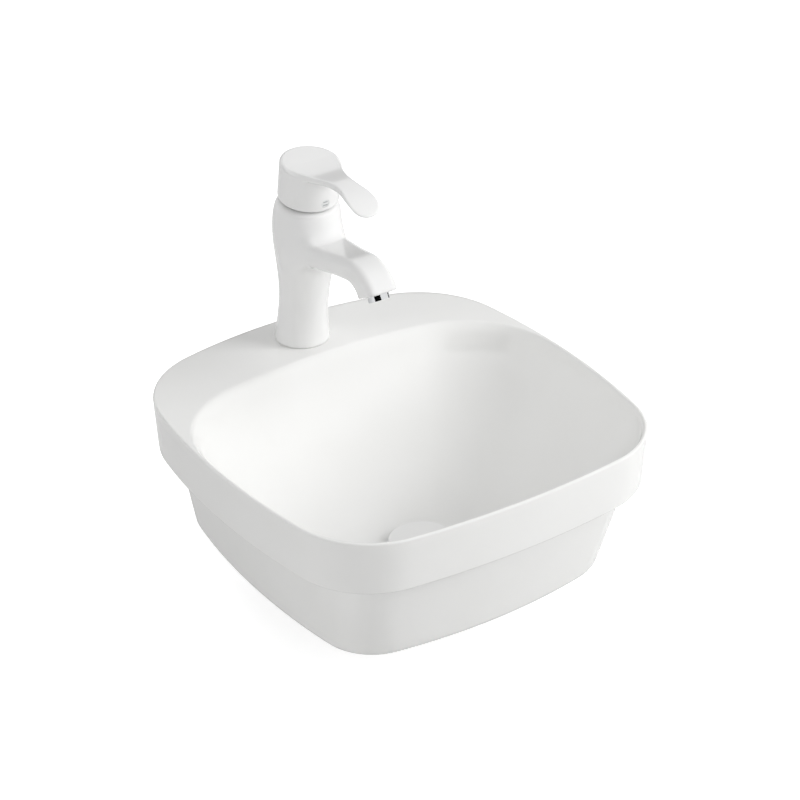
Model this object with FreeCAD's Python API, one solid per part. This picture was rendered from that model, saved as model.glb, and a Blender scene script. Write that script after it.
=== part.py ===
import FreeCAD, Part
import math
import os

# Countertop basin with a single-lever mixer and a click waste.
# Millimetres. +Z is up, -Y is the front, where the user stands.
# The origin is on the worktop, under the middle of the basin.

V = FreeCAD.Vector
X_AXIS = V(1, 0, 0)
Z_AXIS = V(0, 0, 1)

# Basin rim, seen from above
BASIN_WIDTH = 380.0
BASIN_DEPTH = 390.5
SIDE_ARC_R = 680.0
FRONT_ARC_R = 845.0
REAR_ARC_R = 483.0
FRONT_CORNER_R = 82.0
REAR_CORNER_R = 95.0
BAND_H = 52.0
BAND_DRAFT = 3.0
RIM_WIDTH = 4.4
RIM_ROUND = 2.0
DECK_DEPTH = 83.0
DECK_THICK = 16.0

# Skirt below the worktop
SKIRT_H = 94.0
LEDGE_SIDE = 26.0
LEDGE_END = 11.25
SKIRT_CORNER_R = 46.0
SKIRT_SIDE_R = 672.0
SKIRT_END_R = 552.0
FOOT_TAPER_SIDE = 12.7
FOOT_TAPER_END = 23.5
FOOT_CORNER_R = 54.0
FOOT_SHIFT = 2.4
FOOT_ROUND = 10.0
SKIRT_WALL = 13.0

# Bowl
BOWL_WALL = 11.0
BOWL_FLOOR_Z = -77.0
BOWL_CURVE = 1.5
BOWL_STEPS = (0, 18, 36, 54, 64, 70)
BOWL_REAR_R = 650.0
BOWL_REAR_CORNER_R = 100.0
DRAIN_ROUNDNESS = 0.55
DRAIN_FLATNESS = 1.25
DRAIN_FORWARD = 4.7
RECESS_WIDTH = 150.0
RECESS_WALL = 14.0
RECESS_FLOOR = 8.0

# Tap body
TAP_HOLE_R = 17.5
TAP_FROM_REAR = 40.25
TAP_LEAN = 6.0
BASE_SEAL_T = 1.0
BASE_R = 26.0
WAIST_R = 23.2
WAIST_S = 43.0
CHEST_R = 26.3
CHEST_S = 78.0
BELLY_R = 31.4
BELLY_S = 132.0
SHOULDER_R = 30.1
SHOULDER_S = 141.0
TOP_EDGE_R = 28.0
TOP_EDGE_S = 146.0
TOP_R = 23.5
TOP_S = 148.5

# Spout, on the middle plane
SPOUT_ROOT_FORWARD = 20.0
SPOUT_ROOT_UP = 103.0
SPOUT_RISE = 8.0
SPOUT_RUN = 80.3
SPOUT_BEND_R = 29.0
SPOUT_END_LEAN = 30.0
SPOUT_ROOT_SIZE = (44.0, 27.0)
SPOUT_THROAT_AT = 29.0
SPOUT_THROAT_SIZE = (41.0, 21.0)
SPOUT_BEND_SIZE = (31.5, 19.5)
SPOUT_TIP_SIZE = (29.5, 25.5)
SPOUT_EDGE_R = 6.5
SPOUT_ROOT_ROUND = 7.0
WATERWAY_R = 5.0

# Inlets and fixing under the tap
INLET_R = 4.6
INLET_DEPTH = 14.0
INLET_X = 7.5
INLET_FORWARD = 10.5
PASSAGE_R = 3.6
STUD_R = 4.0
STUD_BACK = 12.0
STUD_IN_BODY = 12.0
STUD_END = 12.0
CLAMP_R = 21.0
CLAMP_EYE_R = 13.3
CLAMP_MOUTH = 20.0
CLAMP_GASKET_T = 3.0
CLAMP_PLATE_T = 2.5
NUT_ACROSS = 13.0
NUT_H = 10.0
SCREW_CLEAR = 0.05
STUD_LOOSE = 0.3
SEAL_INSET = 0.5
SEAL_LOOSE = 0.3

# Cartridge, measured along the tap's axis from the top of the body
BORE_R = 18.0
BORE_FLOOR = -40.0
CARTRIDGE_R = 17.6
CARTRIDGE_FOOT_H = 7.0
SEAL_T = 2.4
SEAL_STAND = 0.5
SEAL_R = 4.5
PORT_R = 3.0
PORT_X = 6.0
PORT_BACK = 4.0
OUTLET_FORWARD = 7.0
FIXED_DISC_R = 13.2
FIXED_DISC_T = 3.5
MOVING_DISC_R = 10.8
MOVING_DISC_T = 3.0
CARRIER_T = 6.5
HOUSING_BORE_R = 14.6
HOUSING_LID_T = 3.0
HOUSING_TOP = -6.0
BUSH_R = 9.9
BUSH_FLANGE_R = 13.0
BUSH_TOP = 2.0
PIVOT_Z = -10.0
PIN_R = 2.0
SPINDLE_SIDE = 7.0
SPINDLE_NECK_R = 2.4
BALL_R = 3.0
BALL_ARM = 12.0
NECK_R = 19.5
NUT_BORE_R = 12.5
NUT_HEAD_ACROSS = 36.0
NUT_HEAD_TOP = 2.0
TRIM_R = 22.8
TRIM_BORE_R = 21.4
TRIM_H = 3.0
RUN_CLEAR = 0.08
GAP = 0.4
SLOT_CLEAR = 0.2
PIN_INSET = 0.6
MIX_POCKET_R = 5.0

# Lever, measured from its pivot along its own axis
LEVER_REST_TILT = 3.0
LEVER_TRAVEL = 17.0
CUP_R = 28.2
CUP_BORE_R = 25.4
CUP_RIM = 12.0
CUP_RIM_ROUND = 1.4
CUP_CEILING = 38.0
CUP_TOP = 48.8
LEVER_TOP = 50.2
HEAD_INSET = 1.0
LEVER_REACH = 99.5
FLARE_HALF = 22.4
FLARE_AT = 14.0
BROW_HALF = 17.3
BROW_AT = 27.0
BROW_TOP = 53.0
NECK_HALF = 12.1
NECK_AT = 44.0
NECK_TOP = 57.0
NECK_T = 5.8
WRIST_HALF = 10.9
WRIST_AT = 60.0
WRIST_TOP = 59.4
PADDLE_HALF = 14.4
PADDLE_AT = 84.0
PADDLE_TOP = 56.9
PADDLE_T = 2.8
TIP_HALF = 11.6
TIP_AT = 94.5
TIP_TOP = 50.3
THROAT_LOW = 47.0
HEAD_LOW = 44.0
RELIEF_BACK = 10.0
RELIEF_ANGLE = 22.0
BOSS_R = 8.0
BOSS_LOW = 18.0
SPINDLE_TOP = 34.0
SCREW_UP = 21.5
SCREW_R = 2.5
SCREW_L = 4.0
KEY_HOLE_R = 2.6
PLUG_R = 4.0
PLUG_T = 2.0
PLUG_SINK = 0.2

# Aerator
AERATOR_R = 10.0
AERATOR_OUT = 6.5
AERATOR_IN = 8.0
AERATOR_THREAD_R = 9.2
AERATOR_BORE_R = 7.8
AERATOR_LIP_R = 7.0
AERATOR_LIP_T = 1.2
AERATOR_WASHER_T = 1.6
JET_R = 0.9
JET_RINGS = (0, 6, 12)
JET_STEP = 2.5

# Waste
WASTE_HOLE_R = 22.5
FLANGE_R = 32.0
FLANGE_T = 2.5
FLANGE_SEAL_T = 1.5
SEAT_CLEAR = 0.5
TAIL_R = 20.95
TAIL_BORE_R = 18.0
TAIL_L = 70.0
SPIGOT_R = 20.5
SPIGOT_L = 33.5
UNDERCUT_R = 20.0
UNDERCUT_H = 3.0
LOWER_SEAL_R = 33.0
LOWER_SEAL_T = 5.0
BACK_NUT_ACROSS = 58.0
BACK_NUT_H = 10.0
CROSS_UP = 20.0
CROSS_T = 5.0
CROSS_ARM = 3.0
CROSS_ARMS = 4
CROSS_HUB_R = 7.5
CLICK_R = 8.0
CLICK_BORE_R = 5.4
CLICK_H = 26.0
CLICK_STUB_R = 4.0
CLICK_WALL = 2.5
PLUNGER_R = 3.0
PLUNGER_COLLAR_R = 5.0
PLUNGER_COLLAR_T = 3.0
SPRING_R = 4.6
SPRING_WIRE = 0.8
SPRING_H = 6.0
COVER_R = 30.8
COVER_T = 3.4
COVER_CROWN = 1.0
COVER_EDGE = 0.8
COVER_LIFT = 1.4
PLUG_SEAL_R = 25.0
PLUG_SEAL_BORE_R = 20.0
PLUG_SEAL_T = 1.2
INSERT_R = 7.0
INSERT_H = 6.0

# Sizes and places that follow from the sizes above
SKIRT_WIDTH = BASIN_WIDTH - 2 * LEDGE_SIDE
SKIRT_DEPTH = BASIN_DEPTH - 2 * LEDGE_END
FOOT_WIDTH = SKIRT_WIDTH - 2 * FOOT_TAPER_SIDE
FOOT_DEPTH = SKIRT_DEPTH - 2 * FOOT_TAPER_END
DRAIN_Y = (RIM_WIDTH - DECK_DEPTH) / 2 - DRAIN_FORWARD
TAP_Y = BASIN_DEPTH / 2 - TAP_FROM_REAR
DECK_Z = BAND_H
BASE_Z = DECK_Z + BASE_SEAL_T
DECK_UNDER_Z = DECK_Z - DECK_THICK
BOWL_UNDER_Z = BOWL_FLOOR_Z - BOWL_WALL
FLANGE_UNDER_Z = BOWL_FLOOR_Z + FLANGE_SEAL_T
FLANGE_TOP_Z = FLANGE_UNDER_Z + FLANGE_T
TAIL_END_Z = FLANGE_UNDER_Z - TAIL_L
COVER_UNDER_Z = FLANGE_TOP_Z + COVER_LIFT
FOOT_TOP = BORE_FLOOR + CARTRIDGE_FOOT_H
CROSS_Z = TAIL_END_Z + CROSS_UP
LEVEL_TOLERANCE = 0.01


def save(shape, node):
    """Write one piece to its own file."""
    shape.exportStep("parts/" + node + ".step")


def arc(start, middle, end):
    return Part.Arc(start, middle, end).toShape()


def line(start, end):
    return Part.LineSegment(start, end).toShape()


def disc(radius, low, high, bore=0):
    """Upright cylinder between two heights, with a bore if one is given."""
    solid = Part.makeCylinder(radius, high - low, V(0, 0, low))
    if bore:
        solid = solid.cut(Part.makeCylinder(bore, high - low, V(0, 0, low)))
    return solid


def rod(start, end, radius):
    return Part.makeCylinder(radius, (end - start).Length, start, end - start)


def hexagon(across, low, high):
    reach = across / 2 / math.cos(math.pi / 6)
    points = [V(reach * math.cos(i * math.pi / 3), reach * math.sin(i * math.pi / 3), low) for i in range(7)]
    return Part.Face(Part.makePolygon(points)).extrude(V(0, 0, high - low))


def placed(shape, placement):
    shape.Placement = placement.multiply(shape.Placement)
    return shape


def moved(shape, x, y, z):
    return placed(shape, FreeCAD.Placement(V(x, y, z), FreeCAD.Rotation()))


def corner(side_mid, side_r, end_mid, end_r, corner_r, way):
    """Two tangent points and the middle of a corner arc. way is 1 at the rear and -1 at the front."""
    apart = end_mid - side_mid
    span = apart.Length
    ahead = V(apart.x / span, apart.y / span, 0)
    across = V(-ahead.y, ahead.x, 0)
    along = ((side_r - corner_r) ** 2 - (end_r - corner_r) ** 2 + span ** 2) / (2 * span)
    off = math.sqrt((side_r - corner_r) ** 2 - along ** 2)
    options = [side_mid + ahead * along + across * off * sign for sign in (1, -1)]
    centre = max(options, key=lambda point: point.x + way * point.y)
    to_side = (centre - side_mid).normalize()
    to_end = (centre - end_mid).normalize()
    between = (to_side + to_end).normalize()
    return [centre + way_out * corner_r for way_out in (to_side, between, to_end)]


def outline(half_w, front, rear, side_y, z, side_r, front_r, rear_r, front_corner, rear_corner):
    """Closed wire of eight tangent arcs: four sides and four corners."""
    side_mid = V(half_w - side_r, side_y, z)
    fs, fm, fe = corner(side_mid, side_r, V(0, front + front_r, z), front_r, front_corner, -1)
    rs, rm, re = corner(side_mid, side_r, V(0, rear - rear_r, z), rear_r, rear_corner, 1)
    side = side_mid + (fs + rs - side_mid * 2).normalize() * side_r

    def left(point):
        return V(-point.x, point.y, point.z)

    return Part.Wire([
        arc(left(fe), V(0, front, z), fe),
        arc(fe, fm, fs),
        arc(fs, side, rs),
        arc(rs, rm, re),
        arc(re, V(0, rear, z), left(re)),
        arc(left(re), left(rm), left(rs)),
        arc(left(rs), left(side), left(fs)),
        arc(left(fs), left(fm), left(fe)),
    ])


def rim_outline(inset, z):
    half_d = BASIN_DEPTH / 2 - inset
    return outline(BASIN_WIDTH / 2 - inset, -half_d, half_d, 0, z, SIDE_ARC_R - inset, FRONT_ARC_R - inset,
                   REAR_ARC_R - inset, FRONT_CORNER_R - inset, REAR_CORNER_R - inset)


def skirt_outline(inset, z):
    """The skirt's outline at height z, drawn out between the ledge and the foot."""
    down = -z / SKIRT_H

    def between(ledge, foot):
        return ledge + (foot - ledge) * down

    half_d = between(SKIRT_DEPTH, FOOT_DEPTH) / 2 - inset
    mid = FOOT_SHIFT * down
    end_r = SKIRT_END_R - inset
    corner_r = between(SKIRT_CORNER_R, FOOT_CORNER_R) - inset
    return outline(between(SKIRT_WIDTH, FOOT_WIDTH) / 2 - inset, mid - half_d, mid + half_d, mid, z,
                   SKIRT_SIDE_R - inset, end_r, end_r, corner_r, corner_r)


def bowl_outline(step, grow):
    """One level of the bowl: step is an angle along its curved wall, 0 at the rim. grow adds the wall."""
    share = math.cos(math.radians(step)) ** (2 / BOWL_CURVE)
    full = DECK_Z - BOWL_FLOOR_Z
    sunk = (math.sin(math.radians(step)) / math.sin(math.radians(BOWL_STEPS[-1]))) ** (2 / BOWL_CURVE)
    top_w = BASIN_WIDTH / 2 - RIM_WIDTH
    top_front = RIM_WIDTH - BASIN_DEPTH / 2
    top_rear = BASIN_DEPTH / 2 - DECK_DEPTH
    half_w = top_w * share
    front = DRAIN_Y + (top_front - DRAIN_Y) * share
    rear = DRAIN_Y + (top_rear - DRAIN_Y) * share

    def bent(top_r):
        """An arc that is top_r at the rim and nearly a circle at the drain."""
        return half_w * (DRAIN_FLATNESS + (top_r / top_w - DRAIN_FLATNESS) * share) + grow

    def rounded(top_r):
        return half_w * (DRAIN_ROUNDNESS + (top_r / top_w - DRAIN_ROUNDNESS) * share) + grow

    side_y = DRAIN_Y * (1 - share)
    level = DECK_Z - (full + grow) * sunk
    return outline(half_w + grow, front - grow, rear + grow, side_y, level,
                   bent(SIDE_ARC_R - RIM_WIDTH), bent(FRONT_ARC_R - RIM_WIDTH), bent(BOWL_REAR_R),
                   rounded(FRONT_CORNER_R - RIM_WIDTH), rounded(BOWL_REAR_CORNER_R))


def bowl_solid(grow):
    return Part.makeLoft([bowl_outline(step, grow) for step in BOWL_STEPS], True)


def flat_edges(shape, z):
    """The edges that lie at one height."""
    def level(edge):
        return abs(edge.BoundBox.ZMin - z) < LEVEL_TOLERANCE and abs(edge.BoundBox.ZMax - z) < LEVEL_TOLERANCE
    return [edge for edge in shape.Edges if level(edge)]


def shared_edges(body, first, second):
    """The edges of a fused body where the two shapes meet."""
    def on_both(edge):
        middle = Part.Vertex(edge.valueAt((edge.FirstParameter + edge.LastParameter) / 2))
        return max(shape.Shells[0].distToShape(middle)[0] for shape in (first, second)) < LEVEL_TOLERANCE
    return [edge for edge in body.Edges if on_both(edge)]


def basin_shell():
    """Rim band, skirt and bowl in one casting, open below."""
    band = Part.makeLoft([rim_outline(BAND_DRAFT, 0), rim_outline(0, DECK_Z)], True, True)
    skirt = Part.makeLoft([skirt_outline(0, 0), skirt_outline(0, -SKIRT_H)], True, True)
    skirt = skirt.makeFillet(FOOT_ROUND, flat_edges(skirt, -SKIRT_H))
    rim = band.cut(bowl_solid(0))
    rim = rim.makeFillet(RIM_ROUND, flat_edges(rim, DECK_Z))
    inside = Part.makeLoft([skirt_outline(SKIRT_WALL, RECESS_FLOOR), skirt_outline(SKIRT_WALL, -SKIRT_H)],
                           True, True)
    recess = Part.makeBox(RECESS_WIDTH, BASIN_DEPTH / 2 - RECESS_WALL - DRAIN_Y, DECK_UNDER_Z - RECESS_FLOOR,
                          V(-RECESS_WIDTH / 2, DRAIN_Y, RECESS_FLOOR))
    hollow = inside.fuse(recess).cut(bowl_solid(BOWL_WALL))
    shell = rim.fuse(skirt.cut(bowl_solid(0))).cut(hollow)
    shell = shell.cut(moved(disc(TAP_HOLE_R, DECK_UNDER_Z, DECK_Z), 0, TAP_Y, 0))
    shell = shell.cut(at_drain(disc(FLANGE_R + SEAT_CLEAR, BOWL_FLOOR_Z + LEVEL_TOLERANCE, FLANGE_TOP_Z)))
    return shell.cut(at_drain(disc(WASTE_HOLE_R, BOWL_UNDER_Z, BOWL_FLOOR_Z)))


def tap_frame():
    """Foot of the tap, with Z along its leaning axis."""
    return FreeCAD.Placement(V(0, TAP_Y, BASE_Z), FreeCAD.Rotation(X_AXIS, TAP_LEAN))


def top_frame():
    """Top of the tap body, with Z along its leaning axis."""
    return tap_frame().multiply(FreeCAD.Placement(V(0, 0, TOP_S), FreeCAD.Rotation()))


def lever_frame():
    """Pivot of the lever, with Z along the lever's own axis and -Y towards its tip."""
    pivot = FreeCAD.Placement(V(0, 0, PIVOT_Z), FreeCAD.Rotation(X_AXIS, LEVER_REST_TILT))
    return top_frame().multiply(pivot)


def spout_frame(turn):
    """A place on the spout's bend, turned down by this angle, with Z along the flow."""
    heading = math.radians(SPOUT_RISE)
    start_y = TAP_Y - SPOUT_ROOT_FORWARD - SPOUT_RUN * math.cos(heading)
    start_z = BASE_Z + SPOUT_ROOT_UP + SPOUT_RUN * math.sin(heading)
    now = math.radians(SPOUT_RISE - turn)
    y = start_y - SPOUT_BEND_R * (math.sin(heading) - math.sin(now))
    z = start_z - SPOUT_BEND_R * (math.cos(heading) - math.cos(now))
    return FreeCAD.Placement(V(0, y, z), FreeCAD.Rotation(X_AXIS, 90 - SPOUT_RISE + turn))


def run_frame(along):
    """A place on the spout's straight run, counted back from the bend."""
    return spout_frame(0).multiply(FreeCAD.Placement(V(0, 0, -along), FreeCAD.Rotation()))


def spout_section(size, frame):
    """Rounded rectangle across the flow."""
    half_w, half_t = size[0] / 2, size[1] / 2
    slant = SPOUT_EDGE_R * (1 - math.sqrt(0.5))
    edges = []
    for x, y, turn in ((1, 1, 0), (-1, 1, 1), (-1, -1, 0), (1, -1, 1)):
        first = V(x * half_w, y * (half_t - SPOUT_EDGE_R), 0)
        last = V(x * (half_w - SPOUT_EDGE_R), y * half_t, 0)
        middle = V(x * (half_w - slant), y * (half_t - slant), 0)
        ends = (last, first) if turn else (first, last)
        edges.append(arc(ends[0], middle, ends[1]))
    corners = list(edges)
    for index, edge in enumerate(corners):
        follow = corners[(index + 1) % 4]
        edges.insert(2 * index + 1, line(edge.lastVertex(True).Point, follow.firstVertex(True).Point))
    wire = Part.Wire(edges)
    return placed(wire, frame)


def spout_end():
    return spout_frame(90 - SPOUT_END_LEAN + SPOUT_RISE)


def tap_body():
    """Cast column and spout, bored for the cartridge, the inlets and the water way."""
    curve = spline([V(BASE_R, 0, 0), V(WAIST_R, 0, WAIST_S), V(CHEST_R, 0, CHEST_S), V(BELLY_R, 0, BELLY_S),
                    V(SHOULDER_R, 0, SHOULDER_S), V(TOP_EDGE_R, 0, TOP_EDGE_S), V(TOP_R, 0, TOP_S)])
    foot = math.tan(math.radians(TAP_LEAN)) * BASE_R
    low = V(BASE_R, 0, -foot)
    profile = Part.Wire([line(V(0, 0, -foot), low), line(low, V(BASE_R, 0, 0)), curve,
                         line(V(TOP_R, 0, TOP_S), V(0, 0, TOP_S)), line(V(0, 0, TOP_S), V(0, 0, -foot))])
    column = placed(Part.Face(profile).revolve(V(0, 0, 0), Z_AXIS, 360), tap_frame())
    bend = 90 - SPOUT_END_LEAN + SPOUT_RISE
    middle = [(a + b) / 2 for a, b in zip(SPOUT_BEND_SIZE, SPOUT_TIP_SIZE)]
    spout = Part.makeLoft([
        spout_section(SPOUT_ROOT_SIZE, run_frame(SPOUT_RUN)),
        spout_section(SPOUT_THROAT_SIZE, run_frame(SPOUT_RUN - SPOUT_THROAT_AT)),
        spout_section(SPOUT_BEND_SIZE, spout_frame(0)),
        spout_section(middle, spout_frame(bend / 2)),
        spout_section(SPOUT_TIP_SIZE, spout_frame(bend)),
    ], True)
    body = column.fuse(spout)
    body = body.makeFillet(SPOUT_ROOT_ROUND, shared_edges(body, column, spout))
    under = 2 * BASE_R
    body = body.cut(Part.makeBox(2 * under, 2 * under, under, V(-under, TAP_Y - under, BASE_Z - under)))
    top = top_frame()
    body = body.cut(placed(disc(BORE_R, BORE_FLOOR, 0), top))
    body = body.cut(placed(disc(NECK_R, HOUSING_TOP, 0), top))
    for side in (1, -1):
        x, y = side * INLET_X, TAP_Y - INLET_FORWARD
        body = body.cut(moved(disc(INLET_R, 0, INLET_DEPTH), x, y, BASE_Z))
        port = top.multVec(V(side * PORT_X, PORT_BACK, BORE_FLOOR))
        body = body.cut(rod(V(x, y, BASE_Z + INLET_DEPTH - PASSAGE_R), port, PASSAGE_R))
    body = body.cut(moved(disc(STUD_R + SCREW_CLEAR, 0, STUD_IN_BODY), 0, TAP_Y + STUD_BACK, BASE_Z))
    sump = top.multVec(V(0, -OUTLET_FORWARD, BORE_FLOOR - WATERWAY_R))
    elbow = spout_frame(0).Base
    outlet = spout_end()
    body = body.cut(rod(top.multVec(V(0, -OUTLET_FORWARD, BORE_FLOOR)), sump, PORT_R))
    body = body.cut(rod(sump, elbow, WATERWAY_R)).cut(Part.makeSphere(WATERWAY_R, elbow))
    body = body.cut(rod(elbow, outlet.multVec(V(0, 0, -AERATOR_IN)), WATERWAY_R))
    return body.cut(placed(disc(AERATOR_THREAD_R + SCREW_CLEAR, -AERATOR_IN, 0), outlet))


def tap_base_seal():
    return moved(disc(BASE_R - SEAL_INSET, 0, BASE_SEAL_T, TAP_HOLE_R + SEAL_INSET), 0, TAP_Y, DECK_Z)


def fixing_stud():
    return moved(disc(STUD_R, STUD_END, BASE_Z + STUD_IN_BODY), 0, TAP_Y + STUD_BACK, 0)


def horseshoe(top_z, thick):
    """Flat pad with an open eye for the inlets and a hole for the stud."""
    low = top_z - thick
    pad = disc(CLAMP_R, low, top_z)
    pad = pad.cut(moved(disc(CLAMP_EYE_R, low, top_z), 0, -INLET_FORWARD, 0))
    mouth = V(-CLAMP_MOUTH / 2, -CLAMP_R - INLET_FORWARD, low)
    pad = pad.cut(Part.makeBox(CLAMP_MOUTH, CLAMP_R, thick, mouth))
    pad = pad.cut(moved(disc(STUD_R + STUD_LOOSE, low, top_z), 0, STUD_BACK, 0))
    return moved(pad, 0, TAP_Y, 0)


def clamp_gasket():
    return horseshoe(DECK_UNDER_Z, CLAMP_GASKET_T)


def clamp_plate():
    return horseshoe(DECK_UNDER_Z - CLAMP_GASKET_T, CLAMP_PLATE_T)


def fixing_nut():
    top_z = DECK_UNDER_Z - CLAMP_GASKET_T - CLAMP_PLATE_T
    nut = hexagon(NUT_ACROSS, top_z - NUT_H, top_z).cut(disc(STUD_R + SCREW_CLEAR, top_z - NUT_H, top_z))
    return moved(nut, 0, TAP_Y + STUD_BACK, 0)


def port_places():
    return [(PORT_X, PORT_BACK), (-PORT_X, PORT_BACK), (0, -OUTLET_FORWARD)]


def cartridge_base():
    low = BORE_FLOOR + SEAL_STAND
    foot = disc(CARTRIDGE_R, low, FOOT_TOP)
    for x, y in port_places():
        foot = foot.cut(moved(disc(PORT_R, low, FOOT_TOP), x, y, 0))
        foot = foot.cut(moved(disc(SEAL_R + RUN_CLEAR, low, BORE_FLOOR + SEAL_T), x, y, 0))
    return placed(foot, top_frame())


def cartridge_seals():
    rings = [moved(disc(SEAL_R, BORE_FLOOR, BORE_FLOOR + SEAL_T, PORT_R), x, y, 0) for x, y in port_places()]
    return placed(Part.makeCompound(rings), top_frame())


def fixed_disc():
    plate = disc(FIXED_DISC_R, FOOT_TOP, FOOT_TOP + FIXED_DISC_T)
    for x, y in port_places():
        plate = plate.cut(moved(disc(PORT_R, FOOT_TOP, FOOT_TOP + FIXED_DISC_T), x, y, 0))
    return placed(plate, top_frame())


def ball_back():
    """How far the spindle's ball stands behind the axis when the lever is down."""
    return BALL_ARM * math.sin(math.radians(LEVER_REST_TILT))


def moving_disc():
    low = FOOT_TOP + FIXED_DISC_T
    plate = disc(MOVING_DISC_R, low, low + MOVING_DISC_T)
    plate = plate.cut(disc(MIX_POCKET_R, low, low + MOVING_DISC_T / 2))
    return placed(moved(plate, 0, ball_back(), 0), top_frame())


def disc_carrier():
    low = FOOT_TOP + FIXED_DISC_T + MOVING_DISC_T
    socket_floor = PIVOT_Z - BALL_ARM - BALL_R - GAP
    carrier = disc(MOVING_DISC_R, low, low + CARRIER_T)
    carrier = carrier.cut(disc(BALL_R + GAP, socket_floor, low + CARRIER_T))
    return placed(moved(carrier, 0, ball_back(), 0), top_frame())


def cartridge_housing():
    lid_low = HOUSING_TOP - HOUSING_LID_T
    wall = disc(CARTRIDGE_R, FOOT_TOP, lid_low, HOUSING_BORE_R)
    lid = disc(CARTRIDGE_R, lid_low, HOUSING_TOP, BUSH_R + RUN_CLEAR)
    return placed(wall.fuse(lid), top_frame())


def spindle_bush():
    """Turning bush with a slot that the spindle swings in."""
    low = FOOT_TOP + FIXED_DISC_T + MOVING_DISC_T + CARRIER_T + GAP
    lid_low = HOUSING_TOP - HOUSING_LID_T
    bush = disc(BUSH_FLANGE_R, low, lid_low - RUN_CLEAR).fuse(disc(BUSH_R, low, BUSH_TOP))
    swing = math.tan(math.radians(LEVER_TRAVEL - LEVER_REST_TILT)) * (BUSH_TOP - PIVOT_Z)
    half_l = SPINDLE_SIDE / 2 + swing + GAP
    half_w = SPINDLE_SIDE / 2 + SLOT_CLEAR
    bush = bush.cut(Part.makeBox(2 * half_w, 2 * half_l, BUSH_TOP - low, V(-half_w, -half_l, low)))
    bush = bush.cut(rod(V(-BUSH_FLANGE_R, 0, PIVOT_Z), V(BUSH_FLANGE_R, 0, PIVOT_Z), PIN_R + SCREW_CLEAR))
    return placed(bush, top_frame())


def spindle_pin():
    half = BUSH_R - PIN_INSET
    return placed(rod(V(-half, 0, PIVOT_Z), V(half, 0, PIVOT_Z), PIN_R), top_frame())


def lever_spindle():
    """Square bar with a ball at its foot, drilled for the cross pin."""
    half = SPINDLE_SIDE / 2
    bar = Part.makeBox(SPINDLE_SIDE, SPINDLE_SIDE, SPINDLE_TOP + half, V(-half, -half, -half))
    bar = bar.fuse(disc(SPINDLE_NECK_R, -BALL_ARM, 0)).fuse(Part.makeSphere(BALL_R, V(0, 0, -BALL_ARM)))
    bar = bar.cut(rod(V(-SPINDLE_SIDE, 0, 0), V(SPINDLE_SIDE, 0, 0), PIN_R + RUN_CLEAR))
    return placed(bar, lever_frame())


def cartridge_nut():
    nut = disc(NECK_R - SCREW_CLEAR, HOUSING_TOP, 0).fuse(hexagon(NUT_HEAD_ACROSS, 0, NUT_HEAD_TOP))
    return placed(nut.cut(disc(NUT_BORE_R, HOUSING_TOP, NUT_HEAD_TOP)), top_frame())


def trim_ring():
    return placed(disc(TRIM_R, 0, TRIM_H, TRIM_BORE_R), top_frame())


def spline(points):
    curve = Part.BSplineCurve()
    curve.interpolate(points)
    return curve.toShape()


def lever_plan():
    """The lever's shape from above: a round head that narrows to a neck and ends in a paddle."""
    head_r = CUP_R - HEAD_INSET
    right = [V(head_r, 0, 0), V(FLARE_HALF, -FLARE_AT, 0), V(BROW_HALF, -BROW_AT, 0),
             V(NECK_HALF, -NECK_AT, 0), V(WRIST_HALF, -WRIST_AT, 0), V(PADDLE_HALF, -PADDLE_AT, 0),
             V(TIP_HALF, -TIP_AT, 0), V(0, -LEVER_REACH, 0)]
    left = [V(-point.x, point.y, 0) for point in right]
    back = arc(right[0], V(0, head_r, 0), left[0])
    wire = Part.Wire([back, spline(left + right[-2::-1])])
    return Part.Face(wire).extrude(V(0, 0, 2 * LEVER_TOP))


def lever_side():
    """The lever's head and paddle seen from the side, drawn out across the lever."""
    rear, tip = CUP_R + GAP, -LEVER_REACH - GAP
    brow, throat, head = V(0, -BROW_AT, BROW_TOP), V(0, -CUP_R, THROAT_LOW), V(0, 0, HEAD_LOW)
    over = [V(0, 0, LEVER_TOP), brow, V(0, -NECK_AT, NECK_TOP), V(0, -WRIST_AT, WRIST_TOP),
            V(0, -PADDLE_AT, PADDLE_TOP), V(0, tip, TIP_TOP)]
    under = [V(0, tip, TIP_TOP - PADDLE_T), V(0, -PADDLE_AT, PADDLE_TOP - PADDLE_T),
             V(0, -WRIST_AT, WRIST_TOP - NECK_T), V(0, -NECK_AT, NECK_TOP - NECK_T), throat, head]
    back_low, back_top = V(0, rear, HEAD_LOW), V(0, rear, LEVER_TOP)
    wire = Part.Wire([line(back_top, over[0]), spline(over), line(over[-1], under[0]), spline(under),
                      line(head, back_low), line(back_low, back_top)])
    side = Part.Face(wire).extrude(V(2 * rear, 0, 0))
    return moved(side, -rear, 0, 0)


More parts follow.
